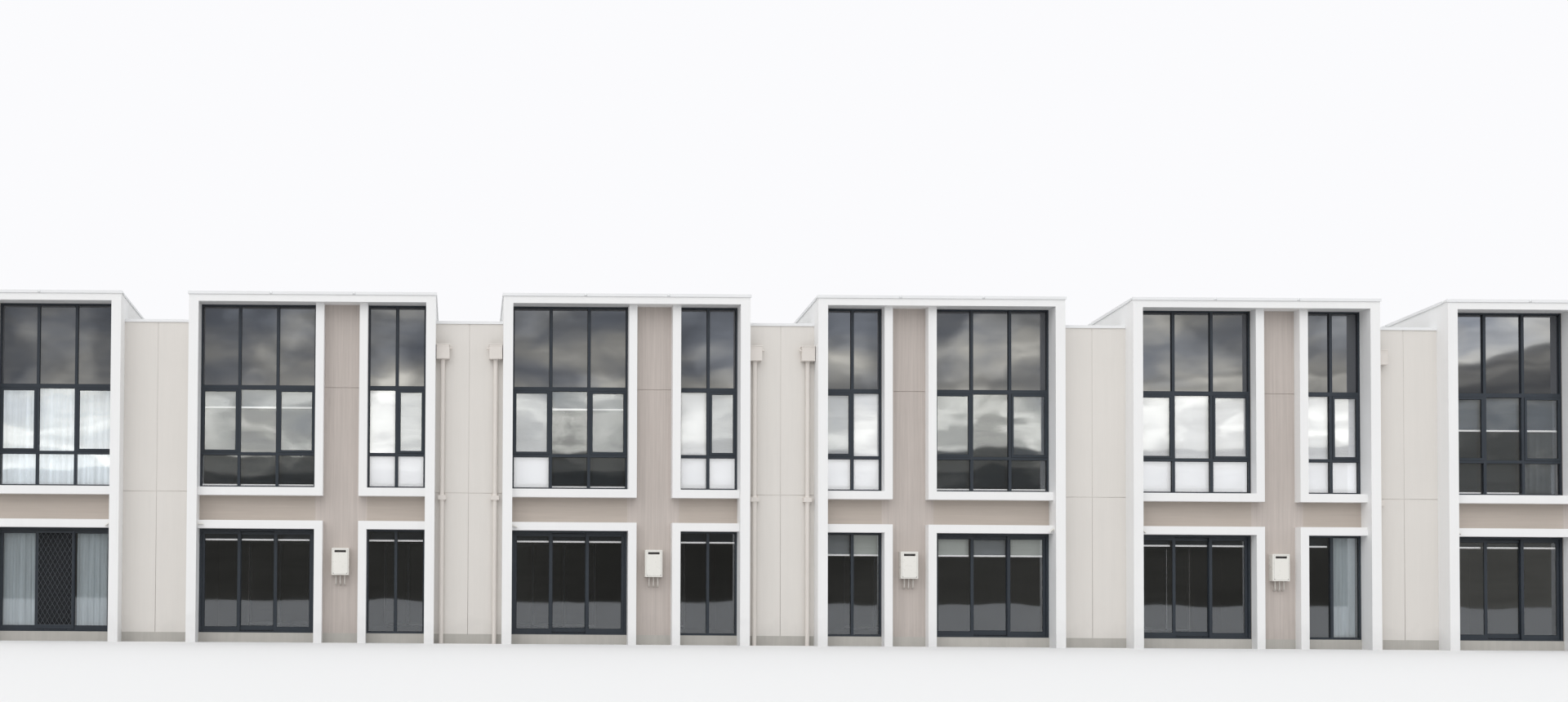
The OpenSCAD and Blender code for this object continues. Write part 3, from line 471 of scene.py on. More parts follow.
def prisms(section, starts, ends):
    """Bars with one section: its points, across and up, are carried along a line from each start to its end."""
    section = np.asarray(section, float)
    count, edges = len(starts), len(section)
    run = ends - starts
    along = run / np.linalg.norm(run, axis=1, keepdims=True)
    up = np.where(np.abs(along[:, 2:]) > 0.9, (0.0, 1.0, 0.0), (0.0, 0.0, 1.0))
    up = up - (up * along).sum(1, keepdims=True) * along
    up /= np.linalg.norm(up, axis=1, keepdims=True)
    right = np.cross(along, up)
    offset = section[:, :1] * right[:, None] + section[:, 1:] * up[:, None]
    points = np.stack([starts[:, None] + offset, ends[:, None] + offset], 1)
    k = np.arange(edges)
    sides = np.stack([k, (k + 1) % edges, (k + 1) % edges + edges, k + edges], 1)
    caps = np.stack([k, k + edges])
    base = 2 * edges * np.arange(count)[:, None, None]
    return points.reshape(-1, 3), [(sides + base).reshape(-1, 4), (caps + base).reshape(-1, edges)]


STRAP_HALF_W = 0.03
STRAP_T = 0.0015
FRONT_FALL = 0.0257
BOX_FALL = math.tan(math.radians(3.5))
CAP_H = 0.045
CAP_LIP = 0.014
cap_metal = coated_metal("cap_metal", linear(236, 237, 238), 0.4, 0.02, 0.15)
dress(cap_metal, "end_caps", "box_front_caps", "box_side_caps", "infill_caps")
low, high = solids("box_front_caps")
depth, rise = (high - low)[0, 1:]
front_section = [(0, 0), (STRAP_T, 0), (STRAP_T, rise + STRAP_T), (-depth, rise - FRONT_FALL + STRAP_T),
                 (-depth, rise - FRONT_FALL), (0, rise)]
thirds = (low[:, None] + (high - low)[:, None] * np.array([(1 / 3, 0, 0), (2 / 3, 0, 0)])).reshape(-1, 3)
front_straps = prisms(front_section, *around(thirds, (STRAP_HALF_W, 0, 0)))
low, high = solids("box_side_caps")
width = high[0, 0] - low[0, 0]
side_section = [(-STRAP_T, -CAP_LIP), (0, -CAP_LIP), (0, CAP_H), (width, CAP_H * 0.7), (width, -CAP_LIP),
                (width + STRAP_T, -CAP_LIP), (width + STRAP_T, CAP_H * 0.7 + STRAP_T), (-STRAP_T, CAP_H + STRAP_T)]
quarters = np.array([0.25, 0.5, 0.75])[:, None]
top_front = spots(low[:, 0], low[:, 1], high[:, 2] - CAP_H)
run = spots(0, high[:, 1] - low[:, 1], (low[:, 1] - high[:, 1]) * BOX_FALL)
joints = (top_front[:, None] + run[:, None] * quarters).reshape(-1, 3)
side_straps = prisms(side_section, *around(joints, run[0] / np.linalg.norm(run[0]) * STRAP_HALF_W))
shell("cap_straps", together(front_straps, side_straps), cap_metal)

# Ribbed roofs.
# Ribbed sheets run from the front parapets to the rear gutters, held through their ribs by screws with
# washers, in rows over the purlins.


def grids(points, close_rows=False, close_columns=False):
    """The points and four-sided faces of N grids of R by C points, closed across either way where asked."""
    count, rows, columns = points.shape[:3]
    i, j = np.meshgrid(np.arange(rows - (not close_rows)), np.arange(columns - (not close_columns)), indexing="ij")
    i_next, j_next = (i + 1) % rows, (j + 1) % columns
    quads = np.stack([i * columns + j, i * columns + j_next, i_next * columns + j_next, i_next * columns + j], -1)
    base = rows * columns * np.arange(count)[:, None, None]
    return points.reshape(-1, 3), [(quads.reshape(-1, 4) + base).reshape(-1, 4)]


def circle(sides):
    """The points of a circle of radius 1, as cosine and sine of equal steps of the angle."""
    angle = np.linspace(0, 2 * math.pi, sides, endpoint=False)
    return np.stack([np.cos(angle), np.sin(angle)], 1)


def turned(places, profile, axis=(0, 0, 1), sides=12):
    """Turned parts: the profile's radius and height go round an axis through each place."""
    axis = np.asarray(axis, float) / np.linalg.norm(axis)
    side = np.cross(axis, (0, 0, 1) if abs(axis[2]) < 0.9 else (0, 1, 0))
    side /= np.linalg.norm(side)
    spoke = circle(sides) @ np.stack([side, np.cross(axis, side)])
    profile = np.asarray(profile, float)
    ring = profile[:, None, :1] * spoke + profile[:, None, 1:] * axis
    return grids(places[:, None, None] + ring, close_columns=True)


def rib_crests(name, fall):
    """The crest line of every rib of a roof node, from the corners of its front end that stand on top."""
    corners = np.unique(corners_of(name).round(4), axis=0)
    level = corners[:, 2] + corners[:, 1] * fall
    front = corners[:, 1] < corners[:, 1].min() + 0.05
    crest = np.unique(corners[front & (level > level[front].max() - 0.002), 0])
    return crest.reshape(-1, 2).mean(1), level[front].max(), corners[:, 1].min(), corners[:, 1].max()


INFILL_RISE = math.tan(math.radians(1.5))
SCREW = [(0, 0.009), (0.006, 0.009), (0.006, 0.003), (0.011, 0.003), (0.011, -0.001), (0, -0.001)]
SCREW_ROWS = 8
ROWS_IN = (0.25, 0.35)
roof_metal = coated_metal("roof_metal", linear(198, 199, 198), 0.42, 0.035, 0.15)
dress(roof_metal, "box_roofs", "infill_roofs", "box_gutters", "rear_gutters")
screw_metal = coated_metal("screw_metal", linear(176, 178, 178), 0.35, 0.05, 0.2)
screws = []
for name, fall in (("box_roofs", BOX_FALL), ("infill_roofs", -INFILL_RISE)):
    crests, level, y_front, y_back = rib_crests(name, fall)
    rows = np.linspace(y_front + ROWS_IN[0], y_back - ROWS_IN[1], SCREW_ROWS)[:, None]
    screws.append(turned(spots(crests, rows, level - rows * fall), SCREW, (0, fall, 1), 6))
shell("roof_screws", together(*screws), screw_metal)

# Flashings along the box roofs.
# An angle of folded metal covers the edge of the sheets on each side, turned up against the parapet wall.
FLASH = np.array([(0, 0.028), (0.11, 0.027), (0.11, 0.026), (0.0015, 0.0265), (0.0015, 0.048), (0, 0.048)])
RIB_H = 0.025
FLASH_IN = 0.02
FLASH_SHORT = 0.45
low, high = solids("box_roofs")
left_start = spots(low[:, 0], low[:, 1] + FLASH_IN, high[:, 2] - RIB_H)
right_start = left_start + (high - low) * (1, 0, 0)
reach = high[0, 1] - low[0, 1] - FLASH_SHORT
run = np.array([0, reach, -reach * BOX_FALL])
shell("roof_flashings", together(prisms(FLASH, left_start, left_start + run),
                                 prisms(FLASH * (-1, 1), right_start, right_start + run)),
      roof_metal)

# Rain heads and downpipes.
# Boxes of sheet metal with a rolled rim take the water of the gutters behind the bays to round pipes, painted
# near the colour of the bays. One broad collar holds each pipe.


def rings(low, high, profile, axes=(0, 2), base=0.0):
    """Mitred rings round rectangles: every corner moves out by the profile's reach, on both axes, and lies at
    the base plus the profile's depth on the third."""
    profile = np.asarray(profile, float)
    signs = np.array([(-1, -1), (1, -1), (1, 1), (-1, 1)])
    points = np.zeros((len(low), 4, len(profile), 3))
    for axis, sign in zip(axes, signs.T):
        edge = np.where(sign > 0, high[:, None, axis], low[:, None, axis])
        points[..., axis] = edge[..., None] + sign[:, None] * profile[:, 0]
    points[..., 3 - sum(axes)] = np.reshape(base, (-1, 1, 1)) + profile[:, 1]
    return grids(points, close_rows=True, close_columns=True)


HEAD_HALF_W = 0.135
RIM = [(-0.001, -0.016), (0.007, -0.016), (0.009, -0.010), (0.009, 0.0), (0.006, 0.004), (-0.004, 0.004),
       (-0.004, 0.0)]
BEAD = [(-0.001, -0.005), (0.003, -0.003), (0.003, 0.003), (-0.001, 0.005)]
BEAD_DOWN = 0.05
FOOT_UP = 0.012
PIPE_R = 0.045
PIPE_BITE = PIPE_R - 0.001
SOCKET = [(PIPE_BITE, 0), (PIPE_R + 0.009, 0), (PIPE_R + 0.009, -0.006), (PIPE_R + 0.004, -0.014),
          (PIPE_R + 0.004, -0.05), (PIPE_BITE, -0.05), (PIPE_BITE, 0)]
SLEEVE = np.array([(PIPE_BITE, 0), (PIPE_R + 0.012, 0), (PIPE_R + 0.012, 0.012), (PIPE_R + 0.005, 0.03),
                   (PIPE_BITE, 0.03), (PIPE_BITE, 0)])
SLEEVE_DOWN = 0.034
PIPE_SIDES = 32
EAR_SCREW = [(0, 0.006), (0.005, 0.005), (0.006, 0.001), (0.009, 0.001), (0.009, -0.001), (0, -0.001)]
EAR_IN = (0.011, 0.03, 0.018)
rain_metal = coated_metal("rain_metal", linear(224, 218, 212), 0.38, 0.025, 0.2)
dress(rain_metal, "rain_heads", "downpipes", "pipe_collars", "rear_downpipes")
low, high = solids("rain_heads")
pipe_x, pipe_y = sum(solids("downpipes"))[:, :2].T / 2
foot, top = low[:, 2], high[:, 2]
low[:, 0], high[:, 0] = around(pipe_x, HEAD_HALF_W)
edges = [rings(low, high, profile, (0, 1), z)
         for profile, z in ((RIM, top), (BEAD, top - BEAD_DOWN), (BEAD, foot + FOOT_UP))]
outlets = turned(spots(pipe_x, pipe_y, foot), SOCKET, sides=PIPE_SIDES)
shell("rain_head_rims", together(*edges, outlets), rain_metal, crisp=True)

low, high = solids("pipe_collars")
ear_x = np.stack([low[:, 0] + EAR_IN[0], high[:, 0] - EAR_IN[0]])
ears = turned(spots(ear_x, high[:, 1] - EAR_IN[1], high[:, 2] - EAR_IN[2]), EAR_SCREW, (0, -1, 0))
sleeves = turned(spots(pipe_x, pipe_y, high[:, 2] - SLEEVE_DOWN), SLEEVE, sides=PIPE_SIDES)
collar_ends = turned(spots(pipe_x, pipe_y, low[:, 2]), SLEEVE * (1, -1), sides=PIPE_SIDES)
shell("collar_details", together(ears, sleeves, collar_ends), rain_metal, crisp=True)

# Rear gutters and pipes.
# Box gutters of coated sheet with a rolled front edge hang on straps along the rear eaves, and clips hold
# their pipes to the wall.
ROLL_R = 0.009
STRAP_SHARES = np.linspace(0.04, 0.96, 7)
HANGER_HALF_W = 0.012
HANGER_T = 0.003
HANGER_DOWN = 0.02
low, high = solids("rear_gutters")
roll_start = spots(low[:, 0], high[:, 1] + ROLL_R / 2, high[:, 2] - ROLL_R)
rolls = prisms(ROLL_R * circle(10), roll_start, roll_start + (high - low) * (1, 0, 0))
(left, back, foot), (right, face, top) = low.T[..., None], high.T[..., None]
hanger_x = around(left + (right - left) * STRAP_SHARES, HANGER_HALF_W)
shell("gutter_straps", together(rolls, blocks(hanger_x, (back, face + HANGER_T), (foot - HANGER_T, foot)),
                                blocks(hanger_x, (face, face + HANGER_T), (foot, top - HANGER_DOWN))),
      roof_metal, crisp=True)

CLIP_HALF = 0.014
CLIP = [(PIPE_BITE, -CLIP_HALF), (PIPE_R + 0.003, -CLIP_HALF), (PIPE_R + 0.003, CLIP_HALF), (PIPE_BITE, CLIP_HALF),
        (PIPE_BITE, -CLIP_HALF)]
CLIP_Z = np.array([0.9, 3.1, 5.3])
TAB_HALF = 0.012
TAB_BITE = 0.004
clip_x, clip_y = sum(solids("rear_downpipes"))[:, :2].T[..., None] / 2
wall_y = solids("rear_piers")[1][:, 1].max()
clips = turned(spots(clip_x, clip_y, CLIP_Z), CLIP, sides=PIPE_SIDES)
tabs = blocks(around(clip_x, TAB_HALF), (wall_y, clip_y - PIPE_R + TAB_BITE), around(CLIP_Z, TAB_HALF))
shell("pipe_clips", together(clips, tabs), rain_metal, crisp=True)

# Window and door frames.
# Aluminium sections with a charcoal powder coat, cut square, joined at the corners and screwed into the
# openings.
DOORS = range(1, 7)
frame_metal = coated_metal("frame_metal", linear(42, 49, 57), 0.36, 0.06, 0.3)
dress(frame_metal, "upper_frames", "awning_sashes", "ground_frames", "door_jambs", "door_heads", "door_sills",
      "fixed_leaves", "rear_frames", "screen_door", *["door_leaf_%d" % n for n in DOORS])

# Glazing gaskets and sash seals.
# A black rubber gasket, pressed in, holds every pane in its frame on both sides, and a rubber seal runs round
# each awning sash.
GASKET_W = 0.007
GASKET_OUT = 0.005
GASKET_IN = 0.0005
GASKET = np.array([(0.001, GASKET_IN), (0.001, -GASKET_OUT), (-GASKET_W * 0.4, -GASKET_OUT), (-GASKET_W, -0.0002),
                   (-GASKET_W, GASKET_IN)])
SEAL = [(-0.001, -0.004), (0.005, -0.004), (0.005, 0.0005), (-0.001, 0.0005)]
rubber = mottled("gasket_rubber", linear(26, 28, 30), 0.7, 60.0, 0.8, 1.3)


def gaskets(name):
    """Rings along the edges of a node's panes, on the front and, mirrored, on the back."""
    low, high = solids(name)
    return together(rings(low, high, GASKET, base=low[:, 1]), rings(low, high, GASKET * (1, -1), base=high[:, 1]))


shell("window_gaskets", together(*[gaskets(name) for name in ("upper_glass", "spandrel_glass", "ground_glass")]),
      rubber)
shell("rear_gaskets", gaskets("rear_glass"), rubber)
for n in DOORS:
    shell("door_gasket_%d" % n, gaskets("door_glass_%d" % n), rubber, "door_%d" % n)
frame_face = solids("upper_frames")[0][0, 1]
shell("sash_seals", rings(*solids("awning_sashes"), SEAL, base=frame_face), rubber)

# Drain covers on the window sills.
# Small black covers are clipped over the drain slots in the lowest bar, two under each pane of the lowest row.
COVER_HALVES = (0.016, 0.0015, 0.003)
COVER_DOWN = 0.019
COVER_SHARES = np.array([[0.22], [0.78]])
low, high = solids("upper_glass")
lowest = low[:, 2] < low[:, 2].min() + 0.02
cover_x = low[lowest, 0] * (1 - COVER_SHARES) + high[lowest, 0] * COVER_SHARES
cover_middles = (cover_x, frame_face, low[lowest, 2][0] - COVER_DOWN)
shell("drain_covers", blocks(*map(around, cover_middles, COVER_HALVES)), rubber, bevel=0.0005)

# Glass.
# Clear panes, held by their gaskets, which mirror a little of the sky and show the blinds, and dark coated
# glass in the top row.


def uneven_pane(tree, shader):
    """Makes a pane a little uneven, so that what it mirrors bends."""
    roughen(tree, shader, scaled_noise(tree, 1.1, 1.0), 1.0, 0.0009)


MIRROR_SHARE = (0.13, 0.9)
clear_glass, tree, shader = new_material("clear_glass", {"Base Color": linear(240, 244, 248), "Metallic": 1,
                                                         "Roughness": 0.015})
by_angle = node(tree, "Fresnel", {"IOR": 1.5}).outputs[0]
tree.links.new(tone(tree, by_angle, *MIRROR_SHARE, 0.04, 1), shader.inputs["Alpha"])
uneven_pane(tree, shader)
dress(clear_glass, "upper_glass", "ground_glass", "rear_glass", *["door_glass_%d" % n for n in DOORS])
dark_glass, tree, shader = new_material("dark_glass", {"Roughness": 0.02, "IOR": 2.15})
shade(tree, shader, linear(44, 48, 56), noise_tone(tree, 0.9, 1.1, 0.9, 2.0))
uneven_pane(tree, shader)
dress(dark_glass, "spandrel_glass")

# Handles of the sliding doors.
# A bar pull on the room side of each moving leaf, on the stile that leads when it opens, with a lock plate,
# and a flat lock case on the screen door.


def tube(path, radius, sides=12):
    """A round bar along a path in one plane: a circle about each point, square to the path there, with flat ends."""
    along = np.gradient(path, axis=0)
    along /= np.linalg.norm(along, axis=1, keepdims=True)
    flat = np.cross(path[0] - path[len(path) // 2], path[-1] - path[len(path) // 2])
    flat /= np.linalg.norm(flat)
    other = np.cross(along, flat)[:, None]
    cosine, sine = circle(sides).T[..., None]
    points, faces = grids((path[:, None] + radius * (cosine * flat + sine * other))[None], close_columns=True)
    ends = np.stack([np.arange(sides), np.arange(sides) + sides * (len(path) - 1)])
    return points, faces + [ends]


WIDE_LEFT = [0, 1, 1, 0, 1, 1]
STILE_HALF_W = 0.031
HANDLE_Z = 1.20
HANDLE_BACK = 0.014
PULL_HALF = 0.11
PULL_REACH = 0.026
PULL_BEND = 0.014
PULL_R = 0.006
PLATE_HALVES = (0.014, PULL_HALF + 0.03)
PLATE_Y = (-0.0005, 0.004)
handle_metal = coated_metal("handle_metal", linear(150, 153, 156), 0.28, 0.04, 0.2)
quarter = np.linspace(0, math.pi / 2, 5)
bend = np.stack([PULL_REACH - PULL_BEND + PULL_BEND * np.sin(quarter),
                 -PULL_HALF + PULL_BEND * (1 - np.cos(quarter))], 1)
pull_line = np.concatenate([[(0, -PULL_HALF)], bend, bend[::-1] * (1, -1), [(0, PULL_HALF)]])
for n, wide_left in zip(DOORS, WIDE_LEFT):
    low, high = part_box("door_leaf_%d" % n)
    lead_x = low[0] + STILE_HALF_W if wide_left else high[0] - STILE_HALF_W
    back = solids("door_glass_%d" % n)[1][0, 1] + HANDLE_BACK
    pull = tube(spots(lead_x, back + pull_line[:, 0], HANDLE_Z + pull_line[:, 1]), PULL_R)
    plate = blocks(around(lead_x, PLATE_HALVES[0]), past(back, PLATE_Y), around(HANDLE_Z, PLATE_HALVES[1]))
    shell("door_handle_%d" % n, together(pull, plate), handle_metal, "door_%d" % n, crisp=True)

LOCK_IN = 0.024
LOCK_CASE = (0.015, (-0.010, 0.0005), 0.07)
LOCK_LATCH = (0.006, (-0.018, -0.009), 0.03)
low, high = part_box("screen_door")
lock = [blocks(around(high[0] - LOCK_IN, half_w), past(low[1], reach), around(HANDLE_Z, half_h))
        for half_w, reach, half_h in (LOCK_CASE, LOCK_LATCH)]
shell("screen_lock", together(*lock), frame_metal, "screen_1", bevel=0.002)

# Screen door.
# A stiff lattice of coated aluminium diamonds, held in the door's frame, guards fine woven fly mesh that is
# stretched close behind it.


def cloth_panels(low, high, y, columns=8, rows=24, wave=None):
    """Flat or waved panels between the corners: y plus the wave, a function of the places across and up."""
    u = np.linspace(0, 1, columns + 1)
    v = np.linspace(0, 1, rows + 1)[:, None]
    (left, _, foot), run = low.T[..., None, None], (high - low).T[..., None, None]
    x, z = np.broadcast_arrays(left + run[0] * u, foot + run[2] * v)
    out = np.zeros_like(x) if wave is None else wave(x, z)
    return grids(np.stack([x, np.reshape(y, (-1, 1, 1)) + out, z], -1))


def cloth(name, shape, material, body="root", thickness=0.0006):
    """A sheet: the panels get the cloth's thickness and ride on the body."""
    made = put_in(name, mesh_of(name, shape, material))
    solid_cloth = made.modifiers.new("thickness", "SOLIDIFY")
    solid_cloth.thickness = thickness
    solid_cloth.offset = 0
    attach(made, body)
    return made


MESH_BACK = 0.003
mesh_metal = coated_metal("mesh_metal", linear(84, 88, 92), 0.5, 0.05, 0.3)
dress(mesh_metal, "screen_mesh")
door_mesh = mottled("fly_mesh", linear(30, 33, 37), 0.8, 20.0, 0.9, 1.1, alpha=0.75)
low, high = np.array(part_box("screen_mesh"), float)[:, None]
cloth("fly_mesh", cloth_panels(low, high, high[:, 1] + MESH_BACK), door_mesh,
      "screen_1")

# Fly screens of the awning windows.
# Fine mesh in a slim frame on the room side of each sash of the second, third and fourth houses, which makes
# the blinds behind it look dimmer than those behind the fixed panes.
SCREENED_X = (-13.0, 6.5)
SCREEN_BAR_W = 0.013
SCREEN_Y = (-4.712, -4.703)
MESH_BITE = 0.002
SCREEN_BAR = [(0.0003, SCREEN_Y[1]), (0.0003, SCREEN_Y[0]), (-SCREEN_BAR_W, SCREEN_Y[0]),
              (-SCREEN_BAR_W, SCREEN_Y[1])]
sash_mesh = mottled("sash_fly_mesh", linear(72, 104, 134), 0.8, 20.0, 0.9, 1.1, alpha=0.16)
low, high = solids("awning_sashes")
screened = (low[:, 0] > SCREENED_X[0]) & (high[:, 0] < SCREENED_X[1])
low, high = low[screened], high[screened]
shell("sash_screen_frames", rings(low, high, SCREEN_BAR), frame_metal)
mesh_edge = (SCREEN_BAR_W - MESH_BITE) * np.array([1, 0, 1])
for n in range(len(low)):
    mesh_low, mesh_high = low[n:n + 1] + mesh_edge, high[n:n + 1] - mesh_edge
    cloth("sash_mesh_%d" % (n + 1), cloth_panels(mesh_low, mesh_high, sum(SCREEN_Y) / 2), sash_mesh)

# Water heaters.
# A pressed steel cover with a cream enamel coat hangs on every pier, over a flue slot with two blades.
# Its seam and screws, in a grey that paints the seam's shadow, and three short pipes show below and at its edges.
SEAM = [(0.0, 0.0002), (0.0, -0.0012), (-0.003, -0.0012), (-0.003, 0.0002)]
SEAM_IN = np.array([0.028, 0, 0.022])
COVER_SCREW_IN = (0.04, 0.034)
SLOT_HALF_W = 0.116
SLOT_DOWN = np.array([0.092, 0.046])
BLADE_UP = np.array([0.013, 0.031])
BLADE_HALF_T = 0.002
BLADE_IN = (0.004, 0.03)
FLUE_BACK_IN = (0.034, 0.038)
PIPE_OFFSETS = (-0.09, 0.0, 0.09)
PIPE_DROP = 0.20
PIPE_BEND = 0.05
STRAIGHT = 0.07
LAGGED_R = 0.013
heater_enamel = coated_metal("heater_enamel", linear(236, 234, 228), 0.3, 0.01, 0.1)
dress(heater_enamel, "water_heaters", "corner_lights")
# Painted shadow: the seam ring and the cover screws are a mid grey, for the shade in the seam.
seam_shadow_grey = coated_metal("seam_shadow", linear(150, 148, 143), 0.6, 0.03, 0.1)
flue_metal = coated_metal("flue_metal", linear(96, 92, 90), 0.5, 0.1, 0.2)
lagging = mottled("lagged_pipe", linear(206, 202, 196), 0.7, 50.0, 0.9, 1.05)
low, high = solids("water_heaters")
middle = (low + high) / 2
face = low[:, 1]
seams = rings(low + SEAM_IN, high - SEAM_IN, SEAM, base=face)
screw_x = np.stack([low[:, 0] + COVER_SCREW_IN[0], high[:, 0] - COVER_SCREW_IN[0]])
cover_screws = turned(spots(screw_x, face, low[:, 2] + COVER_SCREW_IN[1]), EAR_SCREW, (0, -1, 0))
shell("heater_seams", together(seams, cover_screws), seam_shadow_grey)
slot_x = around(middle[:, :1], SLOT_HALF_W)
slot_z = high[0, 2] - SLOT_DOWN
blades = blocks(slot_x, past(face[:, None], BLADE_IN), around(slot_z[0] + BLADE_UP, BLADE_HALF_T))
flue_backs = blocks(slot_x, past(face[:, None], FLUE_BACK_IN), slot_z)
shell("flue_blades", together(blades, flue_backs), flue_metal)
quarter = np.linspace(0, math.pi / 2, 6)
bend = np.stack([PIPE_BEND * (1 - np.cos(quarter)), -PIPE_DROP + PIPE_BEND - PIPE_BEND * np.sin(quarter)], 1)
pipes = []
for x, y, z, wall in zip(middle[:, 0], middle[:, 1], low[:, 2], high[:, 1]):
    line = np.concatenate([[(0, 0.002), (0, -STRAIGHT)], bend, [(wall - y + 0.001, -PIPE_DROP)]])
    pipes += [tube(spots(x + offset, y + line[:, 0], z + line[:, 1]), LAGGED_R) for offset in PIPE_OFFSETS]
shell("heater_pipes", together(*pipes), lagging, crisp=True)

# Lenses of the corner lights.
# Each small light over a sliding door, enamelled and tilted on its arm, has a dark strip of glass along its
# underside.
LIGHT_TILTS = np.radians([38, 0, 20, 48, 42, 30])
LENS_X = (0.012, 0.090)
LENS_HALF_W = 0.017
LENS_Z = (-0.013, -0.0105)
LIGHT_ARM = 0.030
LIGHT_DOWN = 0.028
lens = mottled("light_lens", linear(70, 70, 76), 0.15, 40.0, 0.9, 1.1)
lens_parts = []
for tilt, wide_left, corner, far_corner in zip(LIGHT_TILTS, WIDE_LEFT, *solids("corner_lights")):
    points, faces = blocks(LENS_X, around(0, LENS_HALF_W), LENS_Z)
    side = 1 if wide_left else -1
    turn = np.array([(math.cos(tilt), 0, math.sin(tilt)), (0, 1, 0), (-math.sin(tilt), 0, math.cos(tilt))])
    pivot = ((corner[0] if wide_left else far_corner[0]) + side * LIGHT_ARM, (corner[1] + far_corner[1]) / 2,
             far_corner[2] - LIGHT_DOWN)
    lens_parts.append(((points @ turn.T) * (side, 1, 1) + pivot, faces))
shell("light_lenses", together(*lens_parts), lens, bevel=0.001)

# Roller blinds.
# A blind hangs behind each pane from a tube, cut from white block-out cloth or grey see-through cloth, with a
# white bar in its hem. The cloths and bars have a painted glow, which stands in for light. Rows of like blinds
# that hang side by side are one piece.
# The painted glow of the cloths by height: strongest near the upper sills.
GLOW_HEIGHTS = ((0.0, 0.12), (2.5, 0.12), (3.1, 0.54), (3.84, 0.53), (4.12, 0.16), (6.0, 0.14))
THREADS = 3000.0


def glow(tree, shader, colour, strength):
    """Makes a cloth glow in its colour: painted light, which stands in for light that reaches it."""
    shader.inputs["Emission Color"].default_value = colour
    tree.links.new(strength, shader.inputs["Emission Strength"])


def painted_glow_by_height(tree, even=0.0):
    """How strongly a cloth's painted glow shows at its height, standing in for light from the ledges in front: the
    curve of the heights, and an even share.
    """
    top = GLOW_HEIGHTS[-1][0]
    by_height = node(tree, "FloatCurve", {"Value": tone(tree, object_axes(tree)["Z"], 0, 1, 0, top)})
    curve = by_height.mapping.curves[0]
    for place, value in GLOW_HEIGHTS[1:-1]:
        curve.points.new(place / top, value)
    curve.points[0].location = (0, GLOW_HEIGHTS[0][1])
    curve.points[-1].location = (1, GLOW_HEIGHTS[-1][1])
    for point in curve.points:
        point.handle_type = "VECTOR"
    by_height.mapping.update()
    return calculate(tree, "ADD", by_height.outputs[0], even)


def woven(name, colour, strength, alpha=1.0, by_height=True):
    """Plain cloth: crossing threads by a sine along x and one along z, slubs along the weft. Its outer side has a
    painted glow, which stands in for light from the ledges in front, so it glows most near the upper sills. Its
    room side, where the normal points to the middle of the row, is darker."""
    material, tree, shader = new_material(name, {"Roughness": 0.9, "Sheen Weight": 0.15, "Alpha": alpha})
    place = object_axes(tree)
    weave = product(tree, *[calculate(tree, "SINE", product(tree, place[axis], THREADS)) for axis in ("X", "Z")])
    slub = product(tree, noise_tone(tree, 0.965, 1.02, 40.0, 3.0, (0.04, 1, 1)),
                   noise_tone(tree, 0.93, 1.02, 16.0, 2.0, (0.06, 1, 1)))
    # Painted shade: a slow tone for the shade of slight folds in the cloth.
    painted_fold_shade = noise_tone(tree, 0.98, 1.02, 1.5, 2.0)
    facing = node(tree, "SeparateXYZ", {0: node(tree, "TexCoord").outputs["Normal"]}).outputs["Y"]
    outer_side = tone(tree, product(tree, facing, place["Y"]), 0.0, 1.0, -0.5, 0.5)
    shade(tree, shader, colour, product(tree, slub, painted_fold_shade, tone(tree, weave, 0.97, 1.02, -1, 1),
                                        tone(tree, outer_side, 0.3, 1.0, 0, 1)))
    # Painted light: the outer side glows in the cloth's colour, by height unless by_height is off.
    if strength:
        painted_glow = tone(tree, outer_side, 0.0, strength, 0, 1)
        glow(tree, shader, colour, product(tree, painted_glow_by_height(tree), painted_glow) if by_height else painted_glow)
    roughen(tree, shader, weave, 0.2, 0.0004)
    return material


# Each cloth's second number is the strength of its painted glow.
CLOTHS = (woven("white_cloth", linear(247, 247, 248), 1.0), woven("grey_cloth", linear(122, 132, 144), 0.1, 0.96),
          woven("dark_mesh_cloth", linear(44, 52, 60), 0.0, 0.88), woven("pale_cloth", linear(205, 210, 205), 0.9),
          woven("mid_grey_cloth", linear(150, 155, 158), 0.4),
          woven("rear_cloth", linear(240, 240, 240), 0.16, by_height=False))
WHITE, GREY, DARK, PALE, MID_GREY, REAR = range(6)
rail_metal = coated_metal("blind_rail", linear(236, 236, 236), 0.35, 0.01, 0.1)
# Painted light: the hem bars glow a little in their white, though they are no lamp.
bar_metal_painted_glow = coated_metal("blind_bar", linear(246, 246, 246), 0.35, 0.01, 0.1,
                         **{"Emission Color": linear(246, 246, 246), "Emission Strength": 0.4})
BAR_H = 0.036
TUBE_R = 0.012
TUBE_DOWN = TUBE_R + 0.002
CLOTH_IN, BAR_IN, TUBE_IN = 0.006, 0.004, 0.003
FRONT_IN = 0.003
BAR_Y = (-0.002, 0.008)
CUP, RIPPLE, RIPPLES = 0.0012, 0.0008, 5.0
tubes, bars = [], {"upper": [], "ground": [], "rear": []}


